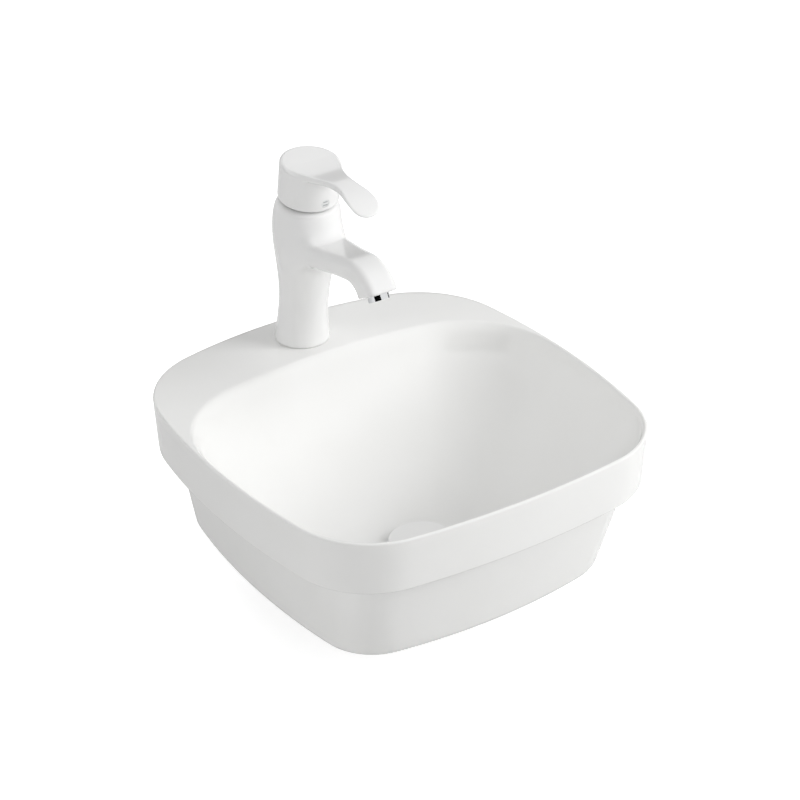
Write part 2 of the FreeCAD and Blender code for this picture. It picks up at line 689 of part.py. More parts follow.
def lever_handle():
    """Cup over the cartridge with the paddle in one casting."""
    cup = disc(CUP_R, CUP_RIM, CUP_TOP)
    cup = cup.makeFillet(CUP_RIM_ROUND, flat_edges(cup, CUP_RIM))
    handle = cup.fuse(lever_plan().common(lever_side()))
    handle = handle.cut(disc(CUP_BORE_R, CUP_RIM, CUP_CEILING))
    handle = handle.fuse(disc(BOSS_R, BOSS_LOW, CUP_CEILING))
    half = SPINDLE_SIDE / 2 + SLOT_CLEAR
    handle = handle.cut(Part.makeBox(2 * half, 2 * half, SPINDLE_TOP - BOSS_LOW, V(-half, -half, BOSS_LOW)))
    wedge = Part.makeBox(4 * CUP_R, 2 * CUP_R, CUP_R, V(-2 * CUP_R, 0, -CUP_R))
    tilt = FreeCAD.Placement(V(0, RELIEF_BACK, CUP_RIM), FreeCAD.Rotation(X_AXIS, RELIEF_ANGLE))
    handle = handle.cut(placed(wedge, tilt))
    handle = handle.cut(rod(V(0, 0, SCREW_UP), V(0, -CUP_R, SCREW_UP), KEY_HOLE_R))
    plug_seat = rod(V(0, PLUG_T - CUP_R, SCREW_UP), V(0, -CUP_R, SCREW_UP), PLUG_R + RUN_CLEAR)
    return placed(handle.cut(plug_seat), lever_frame())


def lever_set_screw():
    start = -SPINDLE_SIDE / 2 - RUN_CLEAR
    return placed(rod(V(0, start, SCREW_UP), V(0, start - SCREW_L, SCREW_UP), SCREW_R), lever_frame())


def index_plug():
    face = CUP_R - PLUG_SINK
    return placed(rod(V(0, PLUG_T - CUP_R, SCREW_UP), V(0, -face, SCREW_UP), PLUG_R), lever_frame())


def aerator_housing():
    lip = AERATOR_OUT - AERATOR_LIP_T
    ring = disc(AERATOR_THREAD_R, AERATOR_WASHER_T - AERATOR_IN, 0).fuse(disc(AERATOR_R, 0, AERATOR_OUT))
    ring = ring.cut(disc(AERATOR_BORE_R, AERATOR_WASHER_T - AERATOR_IN, lip))
    return placed(ring.cut(disc(AERATOR_LIP_R, lip, AERATOR_OUT)), spout_end())


def aerator_insert():
    """Flow straightener: rings of small jets through a plastic disc."""
    low, high = AERATOR_WASHER_T - AERATOR_IN, AERATOR_OUT - AERATOR_LIP_T
    insert = disc(AERATOR_BORE_R - RUN_CLEAR, low, high)
    for ring, count in enumerate(JET_RINGS):
        for index in range(max(count, 1)):
            turn = 2 * math.pi * index / max(count, 1)
            x, y = ring * JET_STEP * math.cos(turn), ring * JET_STEP * math.sin(turn)
            insert = insert.cut(moved(disc(JET_R, low, high), x, y, 0))
    return placed(insert, spout_end())


def aerator_washer():
    washer = disc(AERATOR_THREAD_R - RUN_CLEAR, -AERATOR_IN, AERATOR_WASHER_T - AERATOR_IN, AERATOR_LIP_R)
    return placed(washer, spout_end())


def at_drain(shape):
    return moved(shape, 0, DRAIN_Y, 0)


def waste_body():
    """Flange, tail and spigot in one tube, with a cross inside for the click barrel."""
    spigot_z = TAIL_END_Z + SPIGOT_L
    tube = disc(FLANGE_R, FLANGE_UNDER_Z, FLANGE_TOP_Z)
    tube = tube.fuse(disc(TAIL_R, spigot_z + UNDERCUT_H, FLANGE_UNDER_Z))
    tube = tube.fuse(disc(UNDERCUT_R, spigot_z, spigot_z + UNDERCUT_H))
    tube = tube.fuse(disc(SPIGOT_R, TAIL_END_Z, spigot_z))
    tube = tube.cut(disc(TAIL_BORE_R, TAIL_END_Z, FLANGE_TOP_Z))
    cross = disc(CROSS_HUB_R, CROSS_Z, CROSS_Z + CROSS_T)
    for turn in range(CROSS_ARMS):
        rib = Part.makeBox(TAIL_BORE_R + CROSS_ARM / 2, CROSS_ARM, CROSS_T, V(0, -CROSS_ARM / 2, CROSS_Z))
        rib.rotate(V(0, 0, 0), Z_AXIS, 360 * turn / CROSS_ARMS)
        cross = cross.fuse(rib)
    cross = cross.cut(disc(CLICK_STUB_R + SCREW_CLEAR, CROSS_Z, CROSS_Z + CROSS_T))
    return at_drain(tube.fuse(cross))


def waste_flange_seal():
    return at_drain(disc(FLANGE_R - SEAL_INSET, BOWL_FLOOR_Z, FLANGE_UNDER_Z, TAIL_R + SEAL_LOOSE))


def waste_lower_seal():
    return at_drain(disc(LOWER_SEAL_R, BOWL_UNDER_Z - LOWER_SEAL_T, BOWL_UNDER_Z, TAIL_R + SEAL_LOOSE))


def waste_back_nut():
    top_z = BOWL_UNDER_Z - LOWER_SEAL_T
    nut = hexagon(BACK_NUT_ACROSS, top_z - BACK_NUT_H, top_z)
    return at_drain(nut.cut(disc(TAIL_R + SCREW_CLEAR, top_z - BACK_NUT_H, top_z)))


def click_housing():
    low, high = CROSS_Z + CROSS_T, CROSS_Z + CROSS_T + CLICK_H
    barrel = disc(CLICK_R, low, high).cut(disc(CLICK_BORE_R, low + CLICK_WALL, high - CLICK_WALL))
    barrel = barrel.cut(disc(PLUNGER_R + RUN_CLEAR, high - CLICK_WALL, high))
    return at_drain(barrel.fuse(disc(CLICK_STUB_R, CROSS_Z, low)))


def click_floor():
    return CROSS_Z + CROSS_T + CLICK_WALL


def click_plunger():
    low = click_floor() + SPRING_H
    rod_top = COVER_UNDER_Z - GAP
    return at_drain(disc(PLUNGER_COLLAR_R, low, low + PLUNGER_COLLAR_T).fuse(disc(PLUNGER_R, low, rod_top)))


def click_spring():
    """The spring as a sleeve of its outer shape, shut inside the barrel."""
    return at_drain(disc(SPRING_R, click_floor(), click_floor() + SPRING_H, SPRING_R - SPRING_WIRE))


def waste_cover():
    """Shallow domed disc with a softened edge."""
    top = COVER_UNDER_Z + COVER_T + COVER_CROWN
    ball_r = (COVER_R ** 2 + COVER_CROWN ** 2) / (2 * COVER_CROWN)
    dome = disc(COVER_R, COVER_UNDER_Z, top).common(Part.makeSphere(ball_r, V(0, 0, top - ball_r)))
    rims = [edge for edge in dome.Edges if abs(edge.BoundBox.XLength - 2 * COVER_R) < LEVEL_TOLERANCE]
    return at_drain(dome.makeFillet(COVER_EDGE, rims))


def cover_insert():
    return at_drain(disc(INSERT_R, COVER_UNDER_Z - INSERT_H, COVER_UNDER_Z, PLUNGER_R + SCREW_CLEAR))


def plug_seal():
    return at_drain(disc(PLUG_SEAL_R, COVER_UNDER_Z - PLUG_SEAL_T, COVER_UNDER_Z, PLUG_SEAL_BORE_R))


PIECES = [
    basin_shell, tap_body, tap_base_seal, fixing_stud, clamp_gasket, clamp_plate, fixing_nut,
    cartridge_base, cartridge_seals, fixed_disc, moving_disc, disc_carrier, cartridge_housing,
    spindle_bush, spindle_pin, lever_spindle, cartridge_nut, trim_ring,
    lever_handle, lever_set_screw, index_plug, aerator_housing, aerator_insert, aerator_washer,
    waste_body, waste_flange_seal, waste_lower_seal, waste_back_nut,
    click_housing, click_plunger, click_spring, waste_cover, cover_insert, plug_seal,
]

os.makedirs("parts", exist_ok=True)
for piece in PIECES:
    save(piece(), piece.__name__)
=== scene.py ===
import math

import bpy
import numpy as np
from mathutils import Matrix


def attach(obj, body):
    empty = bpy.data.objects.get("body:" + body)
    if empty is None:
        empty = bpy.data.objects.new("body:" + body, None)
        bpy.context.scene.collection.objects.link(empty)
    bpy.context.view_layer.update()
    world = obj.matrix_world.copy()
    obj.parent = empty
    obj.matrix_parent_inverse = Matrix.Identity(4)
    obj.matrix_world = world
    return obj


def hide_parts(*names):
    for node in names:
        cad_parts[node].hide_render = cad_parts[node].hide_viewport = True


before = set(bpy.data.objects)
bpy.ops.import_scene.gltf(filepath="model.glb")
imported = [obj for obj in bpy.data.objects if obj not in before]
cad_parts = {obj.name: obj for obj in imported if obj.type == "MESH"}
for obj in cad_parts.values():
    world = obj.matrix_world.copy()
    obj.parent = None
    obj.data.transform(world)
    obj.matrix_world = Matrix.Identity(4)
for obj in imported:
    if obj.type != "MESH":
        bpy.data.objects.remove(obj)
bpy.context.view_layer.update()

# Basin
# One piece of vitreous china, slip cast in a plaster mould, then glazed white and fired.
# Its band rests on the worktop, and the skirt below hangs in the cut-out. Sizes are in mm.
BASIN_WIDTH, BASIN_DEPTH = 380.0, 390.5
SIDE_ARC_R, FRONT_ARC_R, REAR_ARC_R = 680.0, 845.0, 483.0
FRONT_CORNER_R, REAR_CORNER_R = 82.0, 95.0
BAND_H, BAND_DRAFT, RIM_WIDTH = 52.0, 3.0, 4.4
RIM_ROUND, SHOULDER_ROUND, SHOULDER_DROP, LEDGE_ROUND, INNER_ROUND = 2.0, 7.0, 2.2, 2.2, 2.0
DECK_DEPTH, DECK_THICK = 83.0, 16.0
SKIRT_H, SKIRT_WALL, FOOT_ROUND, FOOT_SHIFT = 94.0, 13.0, 10.0, 2.4
SKIRT_WIDTH, SKIRT_DEPTH, SKIRT_CORNER_R = 328.0, 368.0, 46.0
FOOT_WIDTH, FOOT_DEPTH, FOOT_CORNER_R = 302.6, 321.0, 54.0
SKIRT_SIDE_R, SKIRT_END_R = 672.0, 552.0
BOWL_WALL, BOWL_FLOOR_Z, BOWL_CURVE, BOWL_END_STEP = 11.0, -77.0, 1.5, 70.0
BOWL_REAR_R, BOWL_REAR_CORNER_R = 650.0, 100.0
DRAIN_ROUNDNESS, DRAIN_FLATNESS, DRAIN_Y = 0.55, 1.25, -44.0
FLOOR_SOFTNESS = 4.0
RECESS_WIDTH, RECESS_WALL, RECESS_FLOOR = 150.0, 14.0, 8.0
TAP_HOLE_R, TAP_Y, WASTE_HOLE_R = 17.5, 155.0, 22.5
SHOULDER_REACH, SKIN_END_STEP = 18.0, 80.0
POINTS_PER_ARC, STATION_STEP = (54, 60, 90, 60, 54), 3
HOLE_SIDES, OVERCUT, SHARP_ANGLE = 64, 1.0, 45.0
METRES = 0.001


def corner_middle(side_mid, side_r, end_mid, end_r, corner_r, way):
    """Centre of the corner arc that touches a side and an end. way is 1 at the rear and -1 at the front."""
    apart = end_mid - side_mid
    span = np.hypot(*apart)
    ahead = apart / span
    along = ((side_r - corner_r) ** 2 - (end_r - corner_r) ** 2 + span ** 2) / (2 * span)
    off = math.sqrt((side_r - corner_r) ** 2 - along ** 2)
    across = np.array((-ahead[1], ahead[0])) * off
    meetings = (side_mid + ahead * along + across * sign for sign in (1, -1))
    return max(meetings, key=lambda p: p[0] + way * p[1])


def soft_square(half_w, front, rear, side_y, side_r, front_r, rear_r, front_corner, rear_corner):
    """Points and outward directions round an outline of eight arcs, from the front middle by the right."""
    side_mid = np.array((half_w - side_r, side_y))
    front_mid = np.array((0.0, front + front_r))
    rear_mid = np.array((0.0, rear - rear_r))
    front_c = corner_middle(side_mid, side_r, front_mid, front_r, front_corner, -1)
    rear_c = corner_middle(side_mid, side_r, rear_mid, rear_r, rear_corner, 1)
    turns = [-math.pi / 2]
    joins = ((front_c, front_mid), (front_c, side_mid), (rear_c, side_mid), (rear_c, rear_mid))
    for centre, middle in joins:
        turns.append(math.atan2(*(centre - middle)[::-1]))
    turns.append(math.pi / 2)
    arcs = zip((front_mid, front_c, side_mid, rear_c, rear_mid),
               (front_r, front_corner, side_r, rear_corner, rear_r), turns, turns[1:], POINTS_PER_ARC)
    points, ways = [], []
    for middle, radius, start, end, count in arcs:
        angle = np.linspace(start, end, count, endpoint=False)
        way = np.column_stack((np.cos(angle), np.sin(angle)))
        points.append(middle + radius * way)
        ways.append(way)
    points = np.vstack(points + [[(0.0, rear)]])
    ways = np.vstack(ways + [[(0.0, 1.0)]])
    mirror = np.array((-1.0, 1.0))
    return np.vstack((points, (points * mirror)[-2:0:-1])), np.vstack((ways, (ways * mirror)[-2:0:-1]))


def bearings(points, middle_y):
    """Directions from a point on the middle plane, rising from the front middle."""
    return np.unwrap(np.arctan2(points[:, 1] - middle_y, points[:, 0]))


def at_stations(square, middle_y):
    """The outline's points and outward directions in the directions of the rim's own points."""
    points, ways = (np.vstack((values, values[:1])) for values in square)
    turn = bearings(points, middle_y)
    return tuple(np.column_stack([np.interp(stations, turn, side) for side in values.T])
                 for values in (points, ways))


def at_height(points, z):
    return np.column_stack((points, np.broadcast_to(z, len(points))))


def rim_square(inset):
    half_d = BASIN_DEPTH / 2 - inset
    return soft_square(BASIN_WIDTH / 2 - inset, -half_d, half_d, 0, SIDE_ARC_R - inset, FRONT_ARC_R - inset,
                       REAR_ARC_R - inset, FRONT_CORNER_R - inset, REAR_CORNER_R - inset)


stations = bearings(rim_square(0)[0][::STATION_STEP], 0)


def rim_ring(inset, z):
    return at_height(at_stations(rim_square(inset), 0)[0], z)


def skirt_ring(inset, z):
    down = -z / SKIRT_H
    half_w = (SKIRT_WIDTH + (FOOT_WIDTH - SKIRT_WIDTH) * down) / 2 - inset
    half_d = (SKIRT_DEPTH + (FOOT_DEPTH - SKIRT_DEPTH) * down) / 2 - inset
    corner_r = SKIRT_CORNER_R + (FOOT_CORNER_R - SKIRT_CORNER_R) * down - inset
    mid, end_r = FOOT_SHIFT * down, SKIRT_END_R - inset
    square = soft_square(half_w, mid - half_d, mid + half_d, mid, SKIRT_SIDE_R - inset, end_r, end_r,
                         corner_r, corner_r)
    return at_height(at_stations(square, 0)[0], z)


def bowl_level(step, grow=0.0):
    """Outline, outward directions and height of the bowl, step degrees along its curved wall."""
    share = math.cos(math.radians(step)) ** (2 / BOWL_CURVE)
    sunk = (math.sin(math.radians(step)) / math.sin(math.radians(BOWL_END_STEP))) ** (2 / BOWL_CURVE)
    top_w = BASIN_WIDTH / 2 - RIM_WIDTH
    half_w = top_w * share
    front = DRAIN_Y + (RIM_WIDTH - BASIN_DEPTH / 2 - DRAIN_Y) * share
    rear = DRAIN_Y + (BASIN_DEPTH / 2 - DECK_DEPTH - DRAIN_Y) * share

    def eased(top_r, drain_share):
        return half_w * (drain_share + (top_r / top_w - drain_share) * share) + grow

    side_y = DRAIN_Y * (1 - share)
    square = soft_square(
        half_w + grow, front - grow, rear + grow, side_y,
        eased(SIDE_ARC_R - RIM_WIDTH, DRAIN_FLATNESS), eased(FRONT_ARC_R - RIM_WIDTH, DRAIN_FLATNESS),
        eased(BOWL_REAR_R, DRAIN_FLATNESS), eased(FRONT_CORNER_R - RIM_WIDTH, DRAIN_ROUNDNESS),
        eased(BOWL_REAR_CORNER_R, DRAIN_ROUNDNESS))
    return *at_stations(square, side_y), BAND_H - (BAND_H - BOWL_FLOOR_Z + grow) * sunk


def soft_max(a, b, width):
    """The larger of two, with the corner between them rounded over this width."""
    share = np.clip(0.5 + 0.5 * (a - b) / width, 0, 1)
    return b + (a - b) * share + width * share * (1 - share)


def quarter(count):
    """Angles through a quarter turn."""
    return np.linspace(0, math.pi / 2, count)


def loft(rings):
    """Closed skin of points and faces through rings of equally many points, capped at both ends."""
    count = len(rings[0])
    here = np.arange(count)
    ahead = np.roll(here, -1)
    faces = []
    for level in range(len(rings) - 1):
        low, high = level * count, (level + 1) * count
        faces += np.column_stack((here + low, ahead + low, ahead + high, here + high)).tolist()
    faces.append(here[::-1].tolist())
    faces.append((here + (len(rings) - 1) * count).tolist())
    return np.vstack(rings), faces


def new_object(name, points, faces):
    """Mesh object from points in mm."""
    mesh = bpy.data.meshes.new(name)
    mesh.from_pydata((np.asarray(points) * METRES).tolist(), [], faces)
    mesh.validate()
    solid = bpy.data.objects.new(name, mesh)
    bpy.context.scene.collection.objects.link(solid)
    return solid


def combine(target, tool, how="DIFFERENCE"):
    """Cut a tool out of a target, or add it, and throw the tool away."""
    step = target.modifiers.new(how, "BOOLEAN")
    step.operation, step.object, step.solver = how, tool, "EXACT"
    ready = target.evaluated_get(bpy.context.evaluated_depsgraph_get())
    mesh = bpy.data.meshes.new_from_object(ready)
    target.modifiers.clear()
    target.data = mesh
    mesh.name = target.name
    bpy.data.objects.remove(tool)


def turned_about_x(points, degrees):
    c, s = math.cos(math.radians(degrees)), math.sin(math.radians(degrees))
    x, y, z = np.moveaxis(np.asarray(points, float), -1, 0)
    return np.stack((x, y * c - z * s, y * s + z * c), -1)


def circle(sides):
    """Points round a circle of radius 1."""
    turn = np.linspace(0, 2 * math.pi, sides, endpoint=False)
    return np.column_stack((np.cos(turn), np.sin(turn)))


def drill(target, radius, low, high, origin, degrees=0):
    """Hole between two places on an axis that leans from upright by this angle."""
    ring = circle(HOLE_SIDES) * radius
    ends = [turned_about_x(at_height(ring, z), degrees) + origin for z in (low, high)]
    combine(target, new_object("drill", *loft(ends)))


def finish_piece(piece, material, body, slot, *nodes):
    """Smooth the piece, give it its material, and set it on its body in place of its CAD nodes."""
    piece.data.shade_smooth()
    piece.data.set_sharp_from_angle(angle=math.radians(SHARP_ANGLE))
    piece.data.materials.clear()
    piece.data.materials.append(material)
    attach(piece, body)
    if nodes:
        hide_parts(*nodes)


def linear(code):
    """Linear colour from an sRGB hex value."""
    parts = [int(code[i:i + 2], 16) / 255 for i in (0, 2, 4)]
    return [c / 12.92 if c <= 0.04045 else ((c + 0.055) / 1.055) ** 2.4 for c in parts] + [1.0]


def add_node(tree, kind, sockets, **settings):
    """One node, with its settings and with its sockets set to values or linked to other sockets."""
    node = tree.nodes.new("ShaderNode" + kind)
    for name, value in settings.items():
        setattr(node, name, value)
    for name, value in sockets.items():
        if isinstance(value, bpy.types.NodeSocket):
            tree.links.new(value, node.inputs[name])
        else:
            node.inputs[name].default_value = value
    return node


def new_material(name):
    """Empty material, its node tree and the coordinates of its points in metres."""
    material = bpy.data.materials.new(name)
    material.use_nodes = True
    material.node_tree.nodes.clear()
    place = add_node(material.node_tree, "TexCoord", {}).outputs["Object"]
    return material, material.node_tree, place


def per_metre(size_mm):
    """Pattern scale at which one cell has this size."""
    return 1 / (size_mm * METRES)


# Vitreous china under a clear white glaze: the fired glass is smooth and bright, it pools by a hair
# over a hand's width, which bends reflections a little, and its tone drifts very slightly.
china, tree, place = new_material("glazed_vitreous_china")
cloud = add_node(tree, "TexNoise", {"Vector": place, "Scale": per_metre(90), "Detail": 2.0})
tone = add_node(tree, "Mix", {"Factor": cloud.outputs["Fac"], "A": linear("F0F0EE"), "B": linear("F4F4F3")},
                data_type="RGBA")
polish = add_node(tree, "MapRange", {"Value": cloud.outputs["Fac"], "To Min": 0.07, "To Max": 0.11})
pool = add_node(tree, "TexNoise", {"Vector": place, "Scale": per_metre(28), "Detail": 1.0})
wave = add_node(tree, "Bump", {"Height": pool.outputs["Fac"], "Strength": 0.25, "Distance": 0.00025})
glaze = add_node(tree, "BsdfPrincipled", {
    "Base Color": tone.outputs["Result"], "Roughness": polish.outputs["Result"],
    "Normal": wave.outputs["Normal"], "IOR": 1.5})
add_node(tree, "OutputMaterial", {"Surface": glaze.outputs["BSDF"]})

rings = [skirt_ring(FOOT_ROUND * (1 - math.sin(a)), -SKIRT_H + FOOT_ROUND * (1 - math.cos(a)))
         for a in quarter(9)]
rings += [skirt_ring(0, z) for z in np.linspace(FOOT_ROUND - SKIRT_H, -INNER_ROUND, 12)[1:]]
rings += [skirt_ring(INNER_ROUND * (math.cos(a) - 1), INNER_ROUND * (math.sin(a) - 1))
          for a in quarter(6)[1:]]
ledge_in, ledge_out = rings[-1], rim_ring(BAND_DRAFT + LEDGE_ROUND, 0)
rings += [ledge_in + (ledge_out - ledge_in) * share for share in (0.1, 0.5, 0.9)]
rings += [rim_ring(BAND_DRAFT + LEDGE_ROUND * (1 - math.sin(a)), LEDGE_ROUND * (1 - math.cos(a)))
          for a in quarter(7)]
rings += [rim_ring(BAND_DRAFT * (1 - z / BAND_H), z)
          for z in np.linspace(LEDGE_ROUND, BAND_H - RIM_ROUND, 7)[1:]]
band_top_inset = BAND_DRAFT * RIM_ROUND / BAND_H
for a in quarter(12)[1:]:
    rings.append(rim_ring(band_top_inset + RIM_ROUND * (1 - math.cos(a)),
                          BAND_H - RIM_ROUND * (1 - math.sin(a))))
rim_top = rings[-1]
edge, edge_ways, _ = bowl_level(0)
deck_width = ((rim_top[:, :2] - edge) * edge_ways).sum(1)
shoulder = SHOULDER_ROUND * (1 - np.exp(-deck_width / SHOULDER_ROUND))
deck_edge = at_height(edge + edge_ways * shoulder[:, None], BAND_H)
rings += [rim_top + (deck_edge - rim_top) * share for share in (0.05, 0.3, 0.7, 0.95)]
bowl_depth = BAND_H - BOWL_FLOOR_Z
for depth in SHOULDER_REACH * np.linspace(0, 1, 19) ** 2:
    sunk = (depth / bowl_depth) ** (BOWL_CURVE / 2)
    step = math.degrees(math.asin(math.sin(math.radians(BOWL_END_STEP)) * sunk))
    points, ways, _ = bowl_level(step)
    left = np.clip(1 - depth / (shoulder * SHOULDER_DROP), 0, 1)
    rounded = shoulder * (1 - np.sqrt(1 - left ** 2))
    rings.append(at_height(points + ways * rounded[:, None], BAND_H - depth))
for step in np.linspace(step, SKIN_END_STEP, 42)[1:]:
    points, _, z = bowl_level(step)
    rings.append(at_height(points, soft_max(z, BOWL_FLOOR_Z, FLOOR_SOFTNESS)))
basin = new_object("basin", *loft(rings))

hollow_ends = [skirt_ring(SKIRT_WALL, z) for z in (-SKIRT_H - OVERCUT, RECESS_FLOOR)]
hollow = new_object("hollow", *loft(hollow_ends))
half_recess, recess_rear = RECESS_WIDTH / 2, BASIN_DEPTH / 2 - RECESS_WALL
recess = np.array(((-half_recess, DRAIN_Y), (half_recess, DRAIN_Y), (half_recess, recess_rear),
                   (-half_recess, recess_rear)))
deck_under = BAND_H - DECK_THICK
combine(hollow, new_object("recess", *loft([at_height(recess, 0), at_height(recess, deck_under)])), "UNION")
outside = [bowl_level(step, BOWL_WALL) for step in np.linspace(0, BOWL_END_STEP, 40)]
combine(hollow, new_object("bowl_outside", *loft([at_height(points, z) for points, _, z in outside][::-1])))
combine(basin, hollow)
drill(basin, TAP_HOLE_R, deck_under - OVERCUT, BAND_H + OVERCUT, (0, TAP_Y, 0))
drill(basin, WASTE_HOLE_R, BOWL_FLOOR_Z - BOWL_WALL - OVERCUT, BOWL_FLOOR_Z + OVERCUT, (0, DRAIN_Y, 0))
finish_piece(basin, china, "fixed", "ceramic", "basin_shell")


# Tap body
# A column and spout cast in brass as one piece, ground smooth, and coated in gloss white.
# It stands on a thin seal on the deck, and leans forward a little.
BASE_Z, TAP_LEAN, TOP_S = 53.0, 6.0, 148.5
COLUMN = ((26, 0), (23.2, 43), (26.3, 78), (31.4, 132), (30.1, 141), (28, 146), (23.5, TOP_S))
COLUMN_BELOW = -4.0
SPOUT_ROOT_FORWARD, SPOUT_ROOT_UP, SPOUT_RISE, SPOUT_RUN = 20.0, 103.0, 8.0, 80.3
SPOUT_BEND_R, SPOUT_END_LEAN, SPOUT_EDGE_R, SPOUT_BLEND = 29.0, 30.0, 6.5, 18.0
SPOUT_TURN = math.radians(90 - SPOUT_END_LEAN + SPOUT_RISE)
SPOUT_END = SPOUT_BEND_R * SPOUT_TURN
SPOUT_THROAT = 29.0 - SPOUT_RUN
SPOUT_WIDTHS = ((-SPOUT_RUN, 44), (SPOUT_THROAT, 41), (0, 31.5), (SPOUT_END, 29.5))
SPOUT_HEIGHTS = ((-SPOUT_RUN, 27), (SPOUT_THROAT, 21), (0, 19.5), (SPOUT_END, 25.5))
MOUTH_ROUND, TAP_FOOT_ROUND = 1.6, 1.0
CARTRIDGE_BORE_R, CARTRIDGE_BORE, NECK_R, NECK_DEPTH = 18.0, 40.0, 19.5, 6.0
AERATOR_SEAT_R, AERATOR_SEAT = 9.25, 8.0
TAP_CELL, TAP_LOW, TAP_HIGH = 1.2, (-36, 8, 50), (36, 192, 206)
SETTLES, EVENED_SETTLES, PULLS, EVEN_SHARE, NUDGE_SHARE, LEAST_GROWTH = 8, 6, 3, 0.6, 0.02, 0.25


def spline(points, steps=24):
    """Smooth curve through the points, as many short steps."""
    points = np.array(points, float)
    at = np.concatenate(([0], np.cumsum(np.hypot(*np.diff(points, axis=0).T))))
    gap = np.diff(at)
    slope = np.diff(points, axis=0) / gap[:, None]
    system, bend = np.eye(len(at)), np.zeros_like(points)
    for i in range(1, len(at) - 1):
        system[i, i - 1:i + 2] = gap[i - 1], 2 * (gap[i - 1] + gap[i]), gap[i]
        bend[i] = 6 * (slope[i] - slope[i - 1])
    bend = np.linalg.solve(system, bend)
    curve = []
    for i, width in enumerate(gap):
        t = np.linspace(0, 1, steps, endpoint=False)[:, None]
        lift = (t ** 3 - t) * bend[i + 1] + ((1 - t) ** 3 - (1 - t)) * bend[i]
        curve.append(points[i] * (1 - t) + points[i + 1] * t + lift * width ** 2 / 6)
    return np.vstack(curve + [points[-1:]])


def distance_to(outline, cell=0.5, margin=10.0):
    """Function of two arrays that gives the distance to a closed outline, less than 0 inside it."""
    outline = np.asarray(outline, float)
    low = outline.min(0) - margin
    counts = np.ceil((outline.max(0) + margin - low) / cell).astype(int) + 1
    p, q = np.meshgrid(*(low[i] + cell * np.arange(counts[i]) for i in range(2)), indexing="ij")
    nearest, inside = np.full(p.shape, np.inf), np.zeros(p.shape, bool)
    for (p0, q0), (p1, q1) in zip(outline, np.roll(outline, -1, axis=0)):
        run = (p1 - p0) ** 2 + (q1 - q0) ** 2
        if run == 0:
            continue
        share = np.clip(((p - p0) * (p1 - p0) + (q - q0) * (q1 - q0)) / run, 0, 1)
        nearest = np.minimum(nearest, (p - p0 - share * (p1 - p0)) ** 2 + (q - q0 - share * (q1 - q0)) ** 2)
        if q0 != q1:
            inside ^= ((q0 > q) != (q1 > q)) & (p < (p1 - p0) * (q - q0) / (q1 - q0) + p0)
    table = np.where(inside, -1, 1) * np.sqrt(nearest)

    def look_up(p, q):
        i = np.clip((p - low[0]) / cell, 0, counts[0] - 1.001)
        j = np.clip((q - low[1]) / cell, 0, counts[1] - 1.001)
        a, b = i.astype(int), j.astype(int)
        s, t = i - a, j - b
        return ((table[a, b] * (1 - s) + table[a + 1, b] * s) * (1 - t)
                + (table[a, b + 1] * (1 - s) + table[a + 1, b + 1] * s) * t)

    return look_up


def cast_skin(field, low, high, cell):
    """Even skin of quads where a field of signed distances is 0, settled onto it."""
    low = np.array(low, float)
    counts = np.ceil((np.array(high) - low) / cell).astype(int) + 1
    sides = (low[i] + cell * np.arange(counts[i]) for i in range(3))
    grid = np.stack(np.meshgrid(*sides, indexing="ij"), -1)
    inside = field(grid) < 0
    filled = sum(inside[i:i - 1 or None, j:j - 1 or None, k:k - 1 or None].astype(int)
                 for i in (0, 1) for j in (0, 1) for k in (0, 1))
    mixed = (filled > 0) & (filled < 8)
    number = np.full(mixed.shape, -1)
    number[mixed] = np.arange(mixed.sum())
    points = low + cell * (np.argwhere(mixed) + 0.5)
    quads = []
    for axis in range(3):
        one, two = [a for a in range(3) if a != axis]
        here = np.moveaxis(inside, (axis, one, two), (0, 1, 2))
        cells = np.moveaxis(number, (axis, one, two), (0, 1, 2))
        first, last = here[:-1, 1:-1, 1:-1], here[1:, 1:-1, 1:-1]
        i, j, k = np.nonzero(first != last)
        round_edge = np.column_stack((cells[i, j, k], cells[i, j + 1, k],
                                      cells[i, j + 1, k + 1], cells[i, j, k + 1]))
        outward = first[i, j, k] ^ (axis == 1)
        quads.append(np.where(outward[:, None], round_edge, round_edge[:, ::-1]))
    quads = np.vstack(quads)
    edges = np.vstack([quads[:, [a, (a + 1) % 4]] for a in range(4)])
    neighbours = np.bincount(edges.ravel(), minlength=len(points))[:, None]
    nudge = NUDGE_SHARE * cell
    for settle in range(SETTLES):
        if settle < EVENED_SETTLES:
            total = np.zeros_like(points)
            np.add.at(total, edges[:, 0], points[edges[:, 1]])
            np.add.at(total, edges[:, 1], points[edges[:, 0]])
            points = (1 - EVEN_SHARE) * points + EVEN_SHARE * total / neighbours
        for _ in range(PULLS):
            value = field(points)
            grown = np.stack([(field(points + nudge * way) - value) / nudge for way in np.eye(3)], -1)
            size = np.maximum((grown ** 2).sum(-1), LEAST_GROWTH)
            points = points - np.clip(value / size, -cell, cell)[:, None] * grown
    return points, quads.tolist()


def soft_min(a, b, width):
    return -soft_max(-a, -b, width)


column_side = spline(COLUMN)
column_foot = [(0, COLUMN_BELOW), (COLUMN[0][0], COLUMN_BELOW)]
column_field = distance_to(np.vstack((column_foot, column_side, [(0, TOP_S)])))
spout_width, spout_height = spline(SPOUT_WIDTHS), spline(SPOUT_HEIGHTS)
TAP_FOOT = np.array((0, TAP_Y, BASE_Z))
heading = math.radians(SPOUT_RISE)
ahead = np.array((0, -math.cos(heading), math.sin(heading)))
upward = np.array((0, math.sin(heading), math.cos(heading)))
bend_start = TAP_FOOT + (0, -SPOUT_ROOT_FORWARD, SPOUT_ROOT_UP) + SPOUT_RUN * ahead
bend_middle = bend_start - SPOUT_BEND_R * upward


